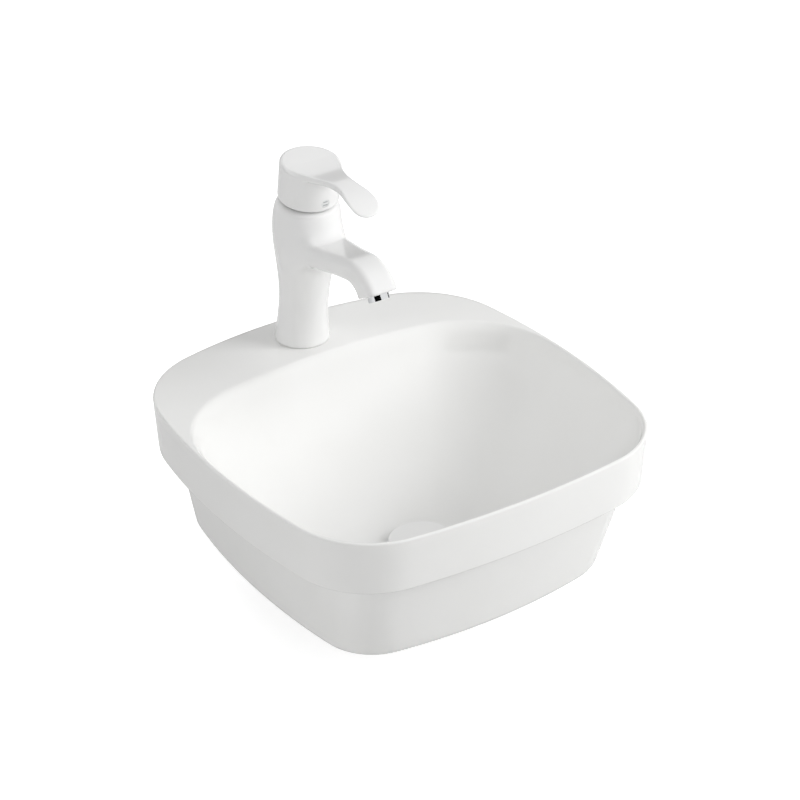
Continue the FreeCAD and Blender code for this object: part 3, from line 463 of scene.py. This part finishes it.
def spout_field(points):
    run, rise = (points - bend_start) @ ahead, (points - bend_start) @ upward
    out, over = (points - bend_middle) @ ahead, (points - bend_middle) @ upward
    bent = run > 0
    along = np.where(bent, SPOUT_BEND_R * np.arctan2(out, over), run)
    off = np.where(bent, np.hypot(out, over) - SPOUT_BEND_R, rise)
    x = np.abs(points[..., 0]) - np.interp(along, *spout_width.T) / 2 + SPOUT_EDGE_R
    t = np.abs(off) - np.interp(along, *spout_height.T) / 2 + SPOUT_EDGE_R
    section = np.hypot(np.maximum(x, 0), np.maximum(t, 0)) + np.minimum(np.maximum(x, t), 0) - SPOUT_EDGE_R
    return np.maximum(soft_max(section, along - SPOUT_END, MOUTH_ROUND), -SPOUT_RUN - along)


def tap_field(points):
    local = turned_about_x(points - TAP_FOOT, -TAP_LEAN)
    column = column_field(np.hypot(local[..., 0], local[..., 1]), local[..., 2])
    body = soft_min(column, spout_field(points), SPOUT_BLEND)
    return soft_max(body, BASE_Z - points[..., 2], TAP_FOOT_ROUND)


# Gloss white coating over cast brass: thick and even like baked enamel, with a faint orange peel
# that softens the edges of reflections, and hardly any drift in tone.
white_coat, tree, place = new_material("gloss_white_enamel")
drift = add_node(tree, "TexNoise", {"Vector": place, "Scale": per_metre(40), "Detail": 2.0})
tone = add_node(tree, "Mix", {"Factor": drift.outputs["Fac"], "A": linear("F1F1F1"), "B": linear("F5F5F4")},
                data_type="RGBA")
polish = add_node(tree, "MapRange", {"Value": drift.outputs["Fac"], "To Min": 0.10, "To Max": 0.15})
peel = add_node(tree, "TexNoise", {"Vector": place, "Scale": per_metre(2.2), "Detail": 1.0})
dimple = add_node(tree, "Bump", {"Height": peel.outputs["Fac"], "Strength": 0.15, "Distance": 0.00002})
enamel = add_node(tree, "BsdfPrincipled", {
    "Base Color": tone.outputs["Result"], "Roughness": polish.outputs["Result"],
    "Normal": dimple.outputs["Normal"], "IOR": 1.5})
add_node(tree, "OutputMaterial", {"Surface": enamel.outputs["BSDF"]})

tap = new_object("tap_casting", *cast_skin(tap_field, TAP_LOW, TAP_HIGH, TAP_CELL))
TAP_TOP = turned_about_x((0, 0, TOP_S), TAP_LEAN) + TAP_FOOT
spout_mouth = bend_middle + SPOUT_BEND_R * (math.cos(SPOUT_TURN) * upward + math.sin(SPOUT_TURN) * ahead)
MOUTH_TURN = 180 - SPOUT_END_LEAN
drill(tap, CARTRIDGE_BORE_R, -CARTRIDGE_BORE, 2 * OVERCUT, TAP_TOP, TAP_LEAN)
drill(tap, NECK_R, -NECK_DEPTH, 2 * OVERCUT, TAP_TOP, TAP_LEAN)
drill(tap, AERATOR_SEAT_R, -AERATOR_SEAT, 2 * OVERCUT, spout_mouth, MOUTH_TURN)
finish_piece(tap, white_coat, "fixed", "white_coat", "tap_body")


# Lever
# A cup over the cartridge and a paddle, cast in zinc as one piece and coated like the tap.
# A grub screw behind the small plug in its front holds it on the spindle.
LEVER_REST_TILT, PIVOT_DOWN = 3.0, 10.0
CUP_R, CUP_BORE_R, CUP_RIM, CUP_CEILING, CUP_TOP = 28.2, 25.4, 13.0, 38.0, 48.8
LEVER_TOP, HEAD_INSET, LEVER_REACH, PADDLE_T, NECK_T = 50.2, 1.0, 99.5, 2.8, 5.8
HEAD_UNDER, HEAD_BACK = 44.0, -31.0
LEVER_PLAN = ((CUP_R - HEAD_INSET, 0), (22.4, 14), (17.3, 27), (12.1, 44),
              (10.9, 60), (14.4, 84), (11.6, 94.5))
LEVER_OVER = ((0, LEVER_TOP), (27, 53), (44, 57), (60, 59.4), (84, 56.9), (99.9, 50.3))
LEVER_UNDER = ((99.9, 50.3 - PADDLE_T), (84, 56.9 - PADDLE_T), (60, 59.4 - NECK_T), (44, 57 - NECK_T),
               (CUP_R, 47), (0, HEAD_UNDER))
RELIEF_BACK, RELIEF_ANGLE = 10.0, 22.0
BOSS_R, BOSS_LOW, SOCKET_SIDE, SOCKET_TOP = 8.0, 18.0, 7.4, 34.0
SCREW_UP, KEY_HOLE_R, PLUG_SEAT_R, PLUG_T = 21.5, 2.6, 4.08, 2.0
CUP_TOP_ROUND, CUP_RIM_ROUND, CUP_BORE_ROUND, RELIEF_ROUND = 1.5, 2.6, 0.8, 1.5
PADDLE_ROUND, HEAD_BLEND = 2.4, 2.0
LEVER_CELL, LEVER_LOW, LEVER_HIGH = 0.9, (-31, -102, 9), (31, 31, 63)
LEVER_LEAN = TAP_LEAN + LEVER_REST_TILT
LEVER_PIVOT = turned_about_x((0, 0, TOP_S - PIVOT_DOWN), TAP_LEAN) + TAP_FOOT

plan_right = list(LEVER_PLAN)
plan_left = [(-half, along) for half, along in LEVER_PLAN]
plan_side = spline(plan_left + [(0, LEVER_REACH)] + plan_right[::-1])
head_turn = np.linspace(0, math.pi, 40)[1:-1]
plan_back = np.column_stack((np.cos(head_turn), -np.sin(head_turn))) * (CUP_R - HEAD_INSET)
plan_field = distance_to(np.vstack((plan_side, plan_back)))
head_back = [(HEAD_BACK, HEAD_UNDER), (HEAD_BACK, LEVER_TOP)]
side_field = distance_to(np.vstack((spline(LEVER_OVER), spline(LEVER_UNDER), head_back)))


def lever_field(points):
    """The lever in its own frame: Z along its axis and -Y towards its tip, from its pivot."""
    x, y, z = np.moveaxis(points, -1, 0)
    out = np.hypot(x, y)
    cup = soft_max(soft_max(out - CUP_R, z - CUP_TOP, CUP_TOP_ROUND), CUP_RIM - z, CUP_RIM_ROUND)
    paddle = soft_max(plan_field(x, -y), side_field(-y, z), PADDLE_ROUND)
    handle = soft_min(cup, paddle, HEAD_BLEND)
    hollow_cup = np.maximum(out - CUP_BORE_R, z - CUP_CEILING)
    handle = soft_max(handle, -hollow_cup, CUP_BORE_ROUND)
    boss = np.maximum(out - BOSS_R, np.maximum(BOSS_LOW - z, z - CUP_CEILING - OVERCUT))
    handle = np.minimum(handle, boss)
    slope = math.radians(RELIEF_ANGLE)
    relief = (CUP_RIM - z) * math.cos(slope) + (y - RELIEF_BACK) * math.sin(slope)
    return soft_max(handle, relief, RELIEF_ROUND)


points, faces = cast_skin(lever_field, LEVER_LOW, LEVER_HIGH, LEVER_CELL)
lever = new_object("lever_casting", turned_about_x(points, LEVER_LEAN) + LEVER_PIVOT, faces)
half = SOCKET_SIDE / 2
socket = np.array(((-half, -half), (half, -half), (half, half), (-half, half)))
socket_ends = [turned_about_x(at_height(socket, z), LEVER_LEAN) + LEVER_PIVOT
               for z in (BOSS_LOW - OVERCUT, SOCKET_TOP)]
combine(lever, new_object("socket", *loft(socket_ends)))
screw_axis = turned_about_x((0, 0, SCREW_UP), LEVER_LEAN) + LEVER_PIVOT
FRONT_TURN = LEVER_LEAN + 90
drill(lever, KEY_HOLE_R, 0, CUP_R + OVERCUT, screw_axis, FRONT_TURN)
drill(lever, PLUG_SEAT_R, CUP_R - PLUG_T, CUP_R + OVERCUT, screw_axis, FRONT_TURN)
finish_piece(lever, white_coat, "lever", "white_coat", "lever_handle")


# Index plug
# A small pale grey plastic plug pressed over the screw's hole, with two printed bars for hot and cold.
PLUG_R, PLUG_FACE, PLUG_EDGE, PLUG_DOME = 4.0, CUP_R - 0.2, 0.5, 0.15
PLUG_TIP_R, PLUG_BROW_R, PLUG_BROW_DROP, PLUG_SIDES = 0.3, 1.8, 0.04, 48
BAR_HALF_L, BAR_HALF_W, BAR_OFF, BAR_DEEP, BAR_PROUD = 2.3, 0.6, 1.6, 0.5, 0.08


def turned_piece(name, profile, origin, degrees, sides):
    """Turned shape from a profile of radius and height, on an axis that leans by this angle."""
    ring = circle(sides)
    rings = [turned_about_x(at_height(ring * radius, z), degrees) + origin for radius, z in profile]
    return new_object(name, *loft(rings))


# Moulded ABS: satin, pale and even, with a fine spark-eroded texture from the mould.
# The texture is drawn coarser than the real one so that it shows.
index_grey, tree, place = new_material("moulded_abs_grey")
grain = add_node(tree, "TexNoise", {"Vector": place, "Scale": per_metre(0.8), "Detail": 2.0})
tone = add_node(tree, "Mix", {"Factor": grain.outputs["Fac"], "A": linear("E2E3E3"), "B": linear("EAEBEB")},
                data_type="RGBA")
satin = add_node(tree, "MapRange", {"Value": grain.outputs["Fac"], "To Min": 0.28, "To Max": 0.4})
texture = add_node(tree, "Bump", {"Height": grain.outputs["Fac"], "Strength": 0.2, "Distance": 0.00005})
abs_grey = add_node(tree, "BsdfPrincipled", {
    "Base Color": tone.outputs["Result"], "Roughness": satin.outputs["Result"],
    "Normal": texture.outputs["Normal"], "IOR": 1.53})
add_node(tree, "OutputMaterial", {"Surface": abs_grey.outputs["BSDF"]})

profile = [(PLUG_TIP_R, CUP_R - PLUG_T), (PLUG_R, CUP_R - PLUG_T)]
profile += [(PLUG_R - PLUG_EDGE * (1 - math.cos(a)), PLUG_FACE - PLUG_DOME - PLUG_EDGE * (1 - math.sin(a)))
            for a in quarter(6)]
profile += [(PLUG_BROW_R, PLUG_FACE - PLUG_BROW_DROP), (PLUG_TIP_R, PLUG_FACE)]
plug = turned_piece("index_plug_face", profile, screw_axis, FRONT_TURN, PLUG_SIDES)
finish_piece(plug, index_grey, "lever", "index", "index_plug")

# Pad-printed ink: a thin flat film, mid grey, a little uneven where the pad left it thin.
ink, tree, place = new_material("pad_printed_ink")
film = add_node(tree, "TexNoise", {"Vector": place, "Scale": per_metre(0.6), "Detail": 2.0})
tone = add_node(tree, "Mix", {"Factor": film.outputs["Fac"], "A": linear("A6A8AA"), "B": linear("B4B6B8")},
                data_type="RGBA")
dry = add_node(tree, "MapRange", {"Value": film.outputs["Fac"], "To Min": 0.4, "To Max": 0.55})
edge_lift = add_node(tree, "Bump", {"Height": film.outputs["Fac"], "Strength": 0.1, "Distance": 0.00002})
dried_ink = add_node(tree, "BsdfPrincipled", {
    "Base Color": tone.outputs["Result"], "Roughness": dry.outputs["Result"],
    "Normal": edge_lift.outputs["Normal"], "IOR": 1.5})
add_node(tree, "OutputMaterial", {"Surface": dried_ink.outputs["BSDF"]})

bar_turn = np.linspace(-math.pi / 2, 1.5 * math.pi, 24, endpoint=False)
bar_ring = np.column_stack((np.cos(bar_turn), np.sin(bar_turn))) * BAR_HALF_W
bar_ring[:, 0] += np.where(np.cos(bar_turn) >= 0, 1, -1) * (BAR_HALF_L - BAR_HALF_W)
bar_points, bar_faces = [], []
for side in (1, -1):
    outline = bar_ring + (0, side * BAR_OFF)
    points, faces = loft([at_height(outline, PLUG_FACE + up) for up in (-BAR_DEEP, BAR_PROUD)])
    bar_faces += [[corner + len(bar_points) * len(points) for corner in face] for face in faces]
    bar_points.append(turned_about_x(points, FRONT_TURN) + screw_axis)
bars = new_object("index_bars", np.vstack(bar_points), bar_faces)
finish_piece(bars, ink, "lever", "index")


# Chrome pieces
# Brass turned on a lathe and plated: the aerator ring, the waste's flange and the ring under the lever.
# Bright chrome over nickel is a mirror, with only faint polishing haze.
chrome, tree, place = new_material("bright_chrome_plate")
haze = add_node(tree, "TexNoise", {"Vector": place, "Scale": per_metre(12), "Detail": 3.0})
tone = add_node(tree, "Mix", {"Factor": haze.outputs["Fac"], "A": linear("D8DADC"), "B": linear("E2E3E4")},
                data_type="RGBA")
polish = add_node(tree, "MapRange", {"Value": haze.outputs["Fac"], "To Min": 0.04, "To Max": 0.09})
ripple = add_node(tree, "Bump", {"Height": haze.outputs["Fac"], "Strength": 0.1, "Distance": 0.00005})
plate = add_node(tree, "BsdfPrincipled", {
    "Base Color": tone.outputs["Result"], "Roughness": polish.outputs["Result"],
    "Normal": ripple.outputs["Normal"], "Metallic": 1.0})
add_node(tree, "OutputMaterial", {"Surface": plate.outputs["BSDF"]})


def dress(material, *nodes):
    """Give CAD nodes that keep their shape a finished material."""
    for name in nodes:
        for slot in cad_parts[name].material_slots:
            slot.material = material


dress(chrome, "aerator_housing", "waste_body")

# The ring in the gap under the lever: the same mirror, but smoky and nearly black, which is painted shade
# for the shadow that falls in the gap under the lever's cup.
shade_painted_chrome, tree, place = new_material("shade_painted_chrome_plate")
shade_noise = add_node(tree, "TexNoise", {"Vector": place, "Scale": per_metre(10), "Detail": 2.0})
tone = add_node(tree, "Mix", {"Factor": shade_noise.outputs["Fac"], "A": linear("1E1F21"), "B": linear("2A2B2D")},
                data_type="RGBA")
polish = add_node(tree, "MapRange", {"Value": shade_noise.outputs["Fac"], "To Min": 0.1, "To Max": 0.16})
ripple = add_node(tree, "Bump", {"Height": shade_noise.outputs["Fac"], "Strength": 0.1, "Distance": 0.00005})
shade_painted_plate = add_node(tree, "BsdfPrincipled", {
    "Base Color": tone.outputs["Result"], "Roughness": polish.outputs["Result"],
    "Normal": ripple.outputs["Normal"], "Metallic": 1.0})
add_node(tree, "OutputMaterial", {"Surface": shade_painted_plate.outputs["BSDF"]})
dress(shade_painted_chrome, "trim_ring")


# Brass pieces
# Bar brass cut on a lathe and left bare: the cartridge nut, the spindle and the nuts below the deck.
# Machined brass is a warm dull mirror with fine tool marks.
brass, tree, place = new_material("machined_brass")
marks = add_node(tree, "TexNoise", {"Vector": place, "Scale": per_metre(1.5), "Detail": 3.0})
tone = add_node(tree, "Mix", {"Factor": marks.outputs["Fac"], "A": linear("C8A566"), "B": linear("DABB7E")},
                data_type="RGBA")
dull = add_node(tree, "MapRange", {"Value": marks.outputs["Fac"], "To Min": 0.22, "To Max": 0.38})
tooling = add_node(tree, "Bump", {"Height": marks.outputs["Fac"], "Strength": 0.2, "Distance": 0.00005})
bare = add_node(tree, "BsdfPrincipled", {
    "Base Color": tone.outputs["Result"], "Roughness": dull.outputs["Result"],
    "Normal": tooling.outputs["Normal"], "Metallic": 1.0})
add_node(tree, "OutputMaterial", {"Surface": bare.outputs["BSDF"]})
dress(brass, "cartridge_nut", "lever_spindle", "waste_back_nut", "fixing_nut", "cover_insert",
      "click_plunger")


# Steel pieces
# Rolled and cut steel, zinc plated: the stud, the clamp plate, the pin, the grub screw and the spring.
# Zinc plate is a bluish satin grey with a faint crystal bloom.
steel, tree, place = new_material("zinc_plated_steel")
bloom = add_node(tree, "TexVoronoi", {"Vector": place, "Scale": per_metre(2.5)}).outputs["Distance"]
tone = add_node(tree, "Mix", {"Factor": bloom, "A": linear("B4B8BC"), "B": linear("C8CBCE")},
                data_type="RGBA")
satin = add_node(tree, "MapRange", {"Value": bloom, "To Min": 0.25, "To Max": 0.42})
crystal = add_node(tree, "Bump", {"Height": bloom, "Strength": 0.15, "Distance": 0.00005})
zinc = add_node(tree, "BsdfPrincipled", {
    "Base Color": tone.outputs["Result"], "Roughness": satin.outputs["Result"],
    "Normal": crystal.outputs["Normal"], "Metallic": 1.0})
add_node(tree, "OutputMaterial", {"Surface": zinc.outputs["BSDF"]})
dress(steel, "fixing_stud", "clamp_plate", "spindle_pin", "lever_set_screw", "click_spring")


# Seals
# Moulded EPDM rubber rings and pads, squeezed between the hard pieces.
# The rubber is a matt near black with a dusty bloom.
rubber, tree, place = new_material("moulded_epdm_rubber")
dust = add_node(tree, "TexNoise", {"Vector": place, "Scale": per_metre(4), "Detail": 4.0})
tone = add_node(tree, "Mix", {"Factor": dust.outputs["Fac"], "A": linear("262626"), "B": linear("333333")},
                data_type="RGBA")
matt = add_node(tree, "MapRange", {"Value": dust.outputs["Fac"], "To Min": 0.6, "To Max": 0.8})
skin_grain = add_node(tree, "Bump", {"Height": dust.outputs["Fac"], "Strength": 0.2, "Distance": 0.0001})
epdm = add_node(tree, "BsdfPrincipled", {
    "Base Color": tone.outputs["Result"], "Roughness": matt.outputs["Result"],
    "Normal": skin_grain.outputs["Normal"], "IOR": 1.5})
add_node(tree, "OutputMaterial", {"Surface": epdm.outputs["BSDF"]})
dress(rubber, "clamp_gasket", "cartridge_seals", "aerator_washer", "waste_flange_seal",
      "waste_lower_seal", "plug_seal")

# Moulded silicone, for the seal that shows under the tap's foot: milky and soft in shine,
# so that it hardly stands out beside the glaze.
silicone, tree, place = new_material("milky_silicone")
cure = add_node(tree, "TexNoise", {"Vector": place, "Scale": per_metre(5), "Detail": 2.0})
tone = add_node(tree, "Mix", {"Factor": cure.outputs["Fac"], "A": linear("D2D2D0"), "B": linear("DCDCDA")},
                data_type="RGBA")
soft = add_node(tree, "MapRange", {"Value": cure.outputs["Fac"], "To Min": 0.45, "To Max": 0.6})
flash = add_node(tree, "Bump", {"Height": cure.outputs["Fac"], "Strength": 0.1, "Distance": 0.00005})
cured = add_node(tree, "BsdfPrincipled", {
    "Base Color": tone.outputs["Result"], "Roughness": soft.outputs["Result"],
    "Normal": flash.outputs["Normal"], "IOR": 1.41})
add_node(tree, "OutputMaterial", {"Surface": cured.outputs["BSDF"]})
dress(silicone, "tap_base_seal")


# Cartridge discs
# Two discs of pressed and fired alumina, lapped flat so that they seal against each other.
# Lapped alumina is creamy white with a fine even sheen.
alumina, tree, place = new_material("lapped_alumina")
grit = add_node(tree, "TexNoise", {"Vector": place, "Scale": per_metre(1.2), "Detail": 2.0})
tone = add_node(tree, "Mix", {"Factor": grit.outputs["Fac"], "A": linear("E6E0D2"), "B": linear("EFEADF")},
                data_type="RGBA")
sheen = add_node(tree, "MapRange", {"Value": grit.outputs["Fac"], "To Min": 0.3, "To Max": 0.42})
lapping = add_node(tree, "Bump", {"Height": grit.outputs["Fac"], "Strength": 0.1, "Distance": 0.00003})
fired = add_node(tree, "BsdfPrincipled", {
    "Base Color": tone.outputs["Result"], "Roughness": sheen.outputs["Result"],
    "Normal": lapping.outputs["Normal"], "IOR": 1.76})
add_node(tree, "OutputMaterial", {"Surface": fired.outputs["BSDF"]})
dress(alumina, "fixed_disc", "moving_disc")


# Plastic pieces
# Injection moulded acetal: the cartridge's shell and carrier, the aerator's core and the click barrel.
# Acetal is a waxy off-white with a soft shine.
acetal, tree, place = new_material("moulded_acetal")
flow = add_node(tree, "TexNoise", {"Vector": place, "Scale": per_metre(6), "Detail": 2.0})
tone = add_node(tree, "Mix", {"Factor": flow.outputs["Fac"], "A": linear("DCDCDA"), "B": linear("E6E6E4")},
                data_type="RGBA")
waxy = add_node(tree, "MapRange", {"Value": flow.outputs["Fac"], "To Min": 0.35, "To Max": 0.5})
mould_skin = add_node(tree, "Bump", {"Height": flow.outputs["Fac"], "Strength": 0.1, "Distance": 0.00005})
moulded = add_node(tree, "BsdfPrincipled", {
    "Base Color": tone.outputs["Result"], "Roughness": waxy.outputs["Result"],
    "Normal": mould_skin.outputs["Normal"], "IOR": 1.48})
add_node(tree, "OutputMaterial", {"Surface": moulded.outputs["BSDF"]})
dress(acetal, "cartridge_base", "cartridge_housing", "disc_carrier", "spindle_bush", "aerator_insert",
      "click_housing")


# Waste cover
# A shallow brass dome, pressed and coated white, that hides the waste and clicks up and down.
COVER_R, COVER_T, COVER_CROWN, COVER_EDGE, COVER_UNDER_Z = 30.8, 3.4, 1.0, 1.1, -71.6
COVER_LOW_ROUND, COVER_TIP_R, COVER_SIDES = 0.5, 0.5, 120
ball_r = (COVER_R ** 2 + COVER_CROWN ** 2) / (2 * COVER_CROWN)
cover_top = COVER_UNDER_Z + COVER_T + COVER_CROWN
rim_r = COVER_R - COVER_EDGE
rim_z = cover_top - ball_r + math.sqrt(ball_r ** 2 - rim_r ** 2)
low_r, low_z = COVER_R - COVER_LOW_ROUND, COVER_UNDER_Z + COVER_LOW_ROUND
profile = [(COVER_TIP_R, COVER_UNDER_Z), (low_r, COVER_UNDER_Z)]
profile += [(low_r + COVER_LOW_ROUND * math.sin(a), low_z - COVER_LOW_ROUND * math.cos(a))
            for a in quarter(5)[1:]]
profile += [(rim_r + COVER_EDGE * math.cos(a), rim_z - COVER_EDGE + COVER_EDGE * math.sin(a))
            for a in quarter(9)]
profile += [(r, cover_top - ball_r + math.sqrt(ball_r ** 2 - r ** 2))
            for r in np.linspace(rim_r, COVER_TIP_R, 14)[1:]]
cover = turned_piece("waste_cover_dome", profile, (0, DRAIN_Y, 0), 0, COVER_SIDES)
finish_piece(cover, white_coat, "cover", "white_cover", "waste_cover")


# Floor, light and camera
# White paper under a white studio, softboxes on the right, the left, above and behind,
# black cloth that only the gloss sees, and the photograph's own viewpoint.
FLOOR_Z, FLOOR_HALF = -146.0, 1700.0
FLOOR_LIFT, FLOOR_LIFT_GLOSS = 0.7, 0.2
ROOM_LIGHT, BACKDROP_LIGHT = 0.2, 1.0
SOFTBOX_SIDE, AIM = 1.4, (0, 0, 0.05)
CAMERA_LENS, CAMERA_SENSOR = 106.17, 36
CAMERA_PLACE, CAMERA_TURN = (-1.0203, -1.5111, 1.1175), (59.808, 0.13, -34.254)


def panel(name, half_w, half_h, z=0.0):
    """Flat rectangle for the stage."""
    corners = [(-half_w, -half_h, z), (half_w, -half_h, z), (half_w, half_h, z), (-half_w, half_h, z)]
    return new_object(name, corners, [[0, 1, 2, 3]])


floor = panel("floor", FLOOR_HALF, FLOOR_HALF, FLOOR_Z)
paper, tree, place = new_material("white_paper")
ray = add_node(tree, "LightPath", {})
in_gloss = add_node(tree, "Math", {0: ray.outputs["Is Glossy Ray"], 1: ray.outputs["Is Transmission Ray"]},
                    operation="MAXIMUM")
gloss_lift = add_node(tree, "Math", {0: in_gloss.outputs[0], 1: FLOOR_LIFT_GLOSS}, operation="MULTIPLY")
lift = add_node(tree, "Math", {0: ray.outputs["Is Camera Ray"], 1: FLOOR_LIFT, 2: gloss_lift.outputs[0]},
                operation="MULTIPLY_ADD")
glow = add_node(tree, "Emission", {"Strength": lift.outputs[0]})
matt_paper = add_node(tree, "BsdfDiffuse", {"Color": linear("E3E3E3")})
both = add_node(tree, "AddShader", {0: glow.outputs[0], 1: matt_paper.outputs[0]})
add_node(tree, "OutputMaterial", {"Surface": both.outputs[0]})
floor.data.materials.append(paper)

world = bpy.data.worlds.new("white_studio")
bpy.context.scene.world = world
world.use_nodes = True
tree = world.node_tree
tree.nodes.clear()
ray = add_node(tree, "LightPath", {})
seen = add_node(tree, "Math", {0: ray.outputs["Is Camera Ray"], 1: ray.outputs["Is Glossy Ray"]},
                operation="MAXIMUM")
seen = add_node(tree, "Math", {0: seen.outputs[0], 1: ray.outputs["Is Transmission Ray"]},
                operation="MAXIMUM")
room = add_node(tree, "Background", {"Color": linear("FFFFFF"), "Strength": ROOM_LIGHT})
backdrop = add_node(tree, "Background", {"Color": linear("FFFFFF"), "Strength": BACKDROP_LIGHT})
mixed_light = add_node(tree, "MixShader", {0: seen.outputs[0], 1: room.outputs[0], 2: backdrop.outputs[0]})
add_node(tree, "OutputWorld", {"Surface": mixed_light.outputs[0]})


def facing_basin(place):
    """Turn of a panel at this place that looks at the basin."""
    away = np.array(place) - AIM
    return math.acos(away[2] / np.linalg.norm(away)), 0, math.atan2(away[0], -away[1])


def softbox(name, place, watts):
    """Square lamp behind white cloth, aimed at the basin."""
    lamp = bpy.data.lights.new(name, "AREA")
    lamp.size, lamp.energy = SOFTBOX_SIDE, watts
    stand = bpy.data.objects.new(name, lamp)
    bpy.context.scene.collection.objects.link(stand)
    stand.location, stand.rotation_euler = place, facing_basin(place)
    stand.visible_glossy = False


softbox("key_light", (1.9, -1.7, 1.2), 46)
softbox("camera_side_light", (-1.4, -2.0, 1.5), 14)
softbox("high_light", (1.4, -0.8, 2.2), 14.5)
softbox("top_light", (0.1, 0.2, 2.5), 5)
softbox("rear_light", (0, 2.4, 1.5), 12)
softbox("left_light", (-2.5, 0.4, 0.8), 15.7)

# Black cloth on frames, which only the gloss sees: it gives chrome its dark bands and the glaze its edges.
cloth, tree, place = new_material("black_cloth")
nap = add_node(tree, "TexNoise", {"Vector": place, "Scale": per_metre(3), "Detail": 2.0})
tone = add_node(tree, "Mix", {"Factor": nap.outputs["Fac"], "A": linear("0A0A0A"), "B": linear("141414")},
                data_type="RGBA")
woven = add_node(tree, "BsdfDiffuse", {"Color": tone.outputs["Result"]})
add_node(tree, "OutputMaterial", {"Surface": woven.outputs["BSDF"]})
for name, place, width, height in (("camera_side_flag", (-2.1, -2.1, 1.2), 4200, 1500),
                                   ("right_flag", (2.6, 0, 0.05), 2600, 400),
                                   ("rear_flag", (1.4, 2.65, 1.0), 2600, 850)):
    flag = panel(name, width / 2, height / 2)
    flag.location, flag.rotation_euler = place, facing_basin(place)
    flag.visible_camera = flag.visible_diffuse = flag.visible_transmission = flag.visible_shadow = False
    flag.data.materials.append(cloth)

camera = bpy.data.cameras.new("camera")
camera.lens, camera.sensor_width = CAMERA_LENS, CAMERA_SENSOR
viewpoint = bpy.data.objects.new("camera", camera)
bpy.context.scene.collection.objects.link(viewpoint)
viewpoint.location = CAMERA_PLACE
viewpoint.rotation_euler = [math.radians(turn) for turn in CAMERA_TURN]
bpy.context.scene.camera = viewpoint
bpy.context.scene.view_settings.view_transform = "Standard"
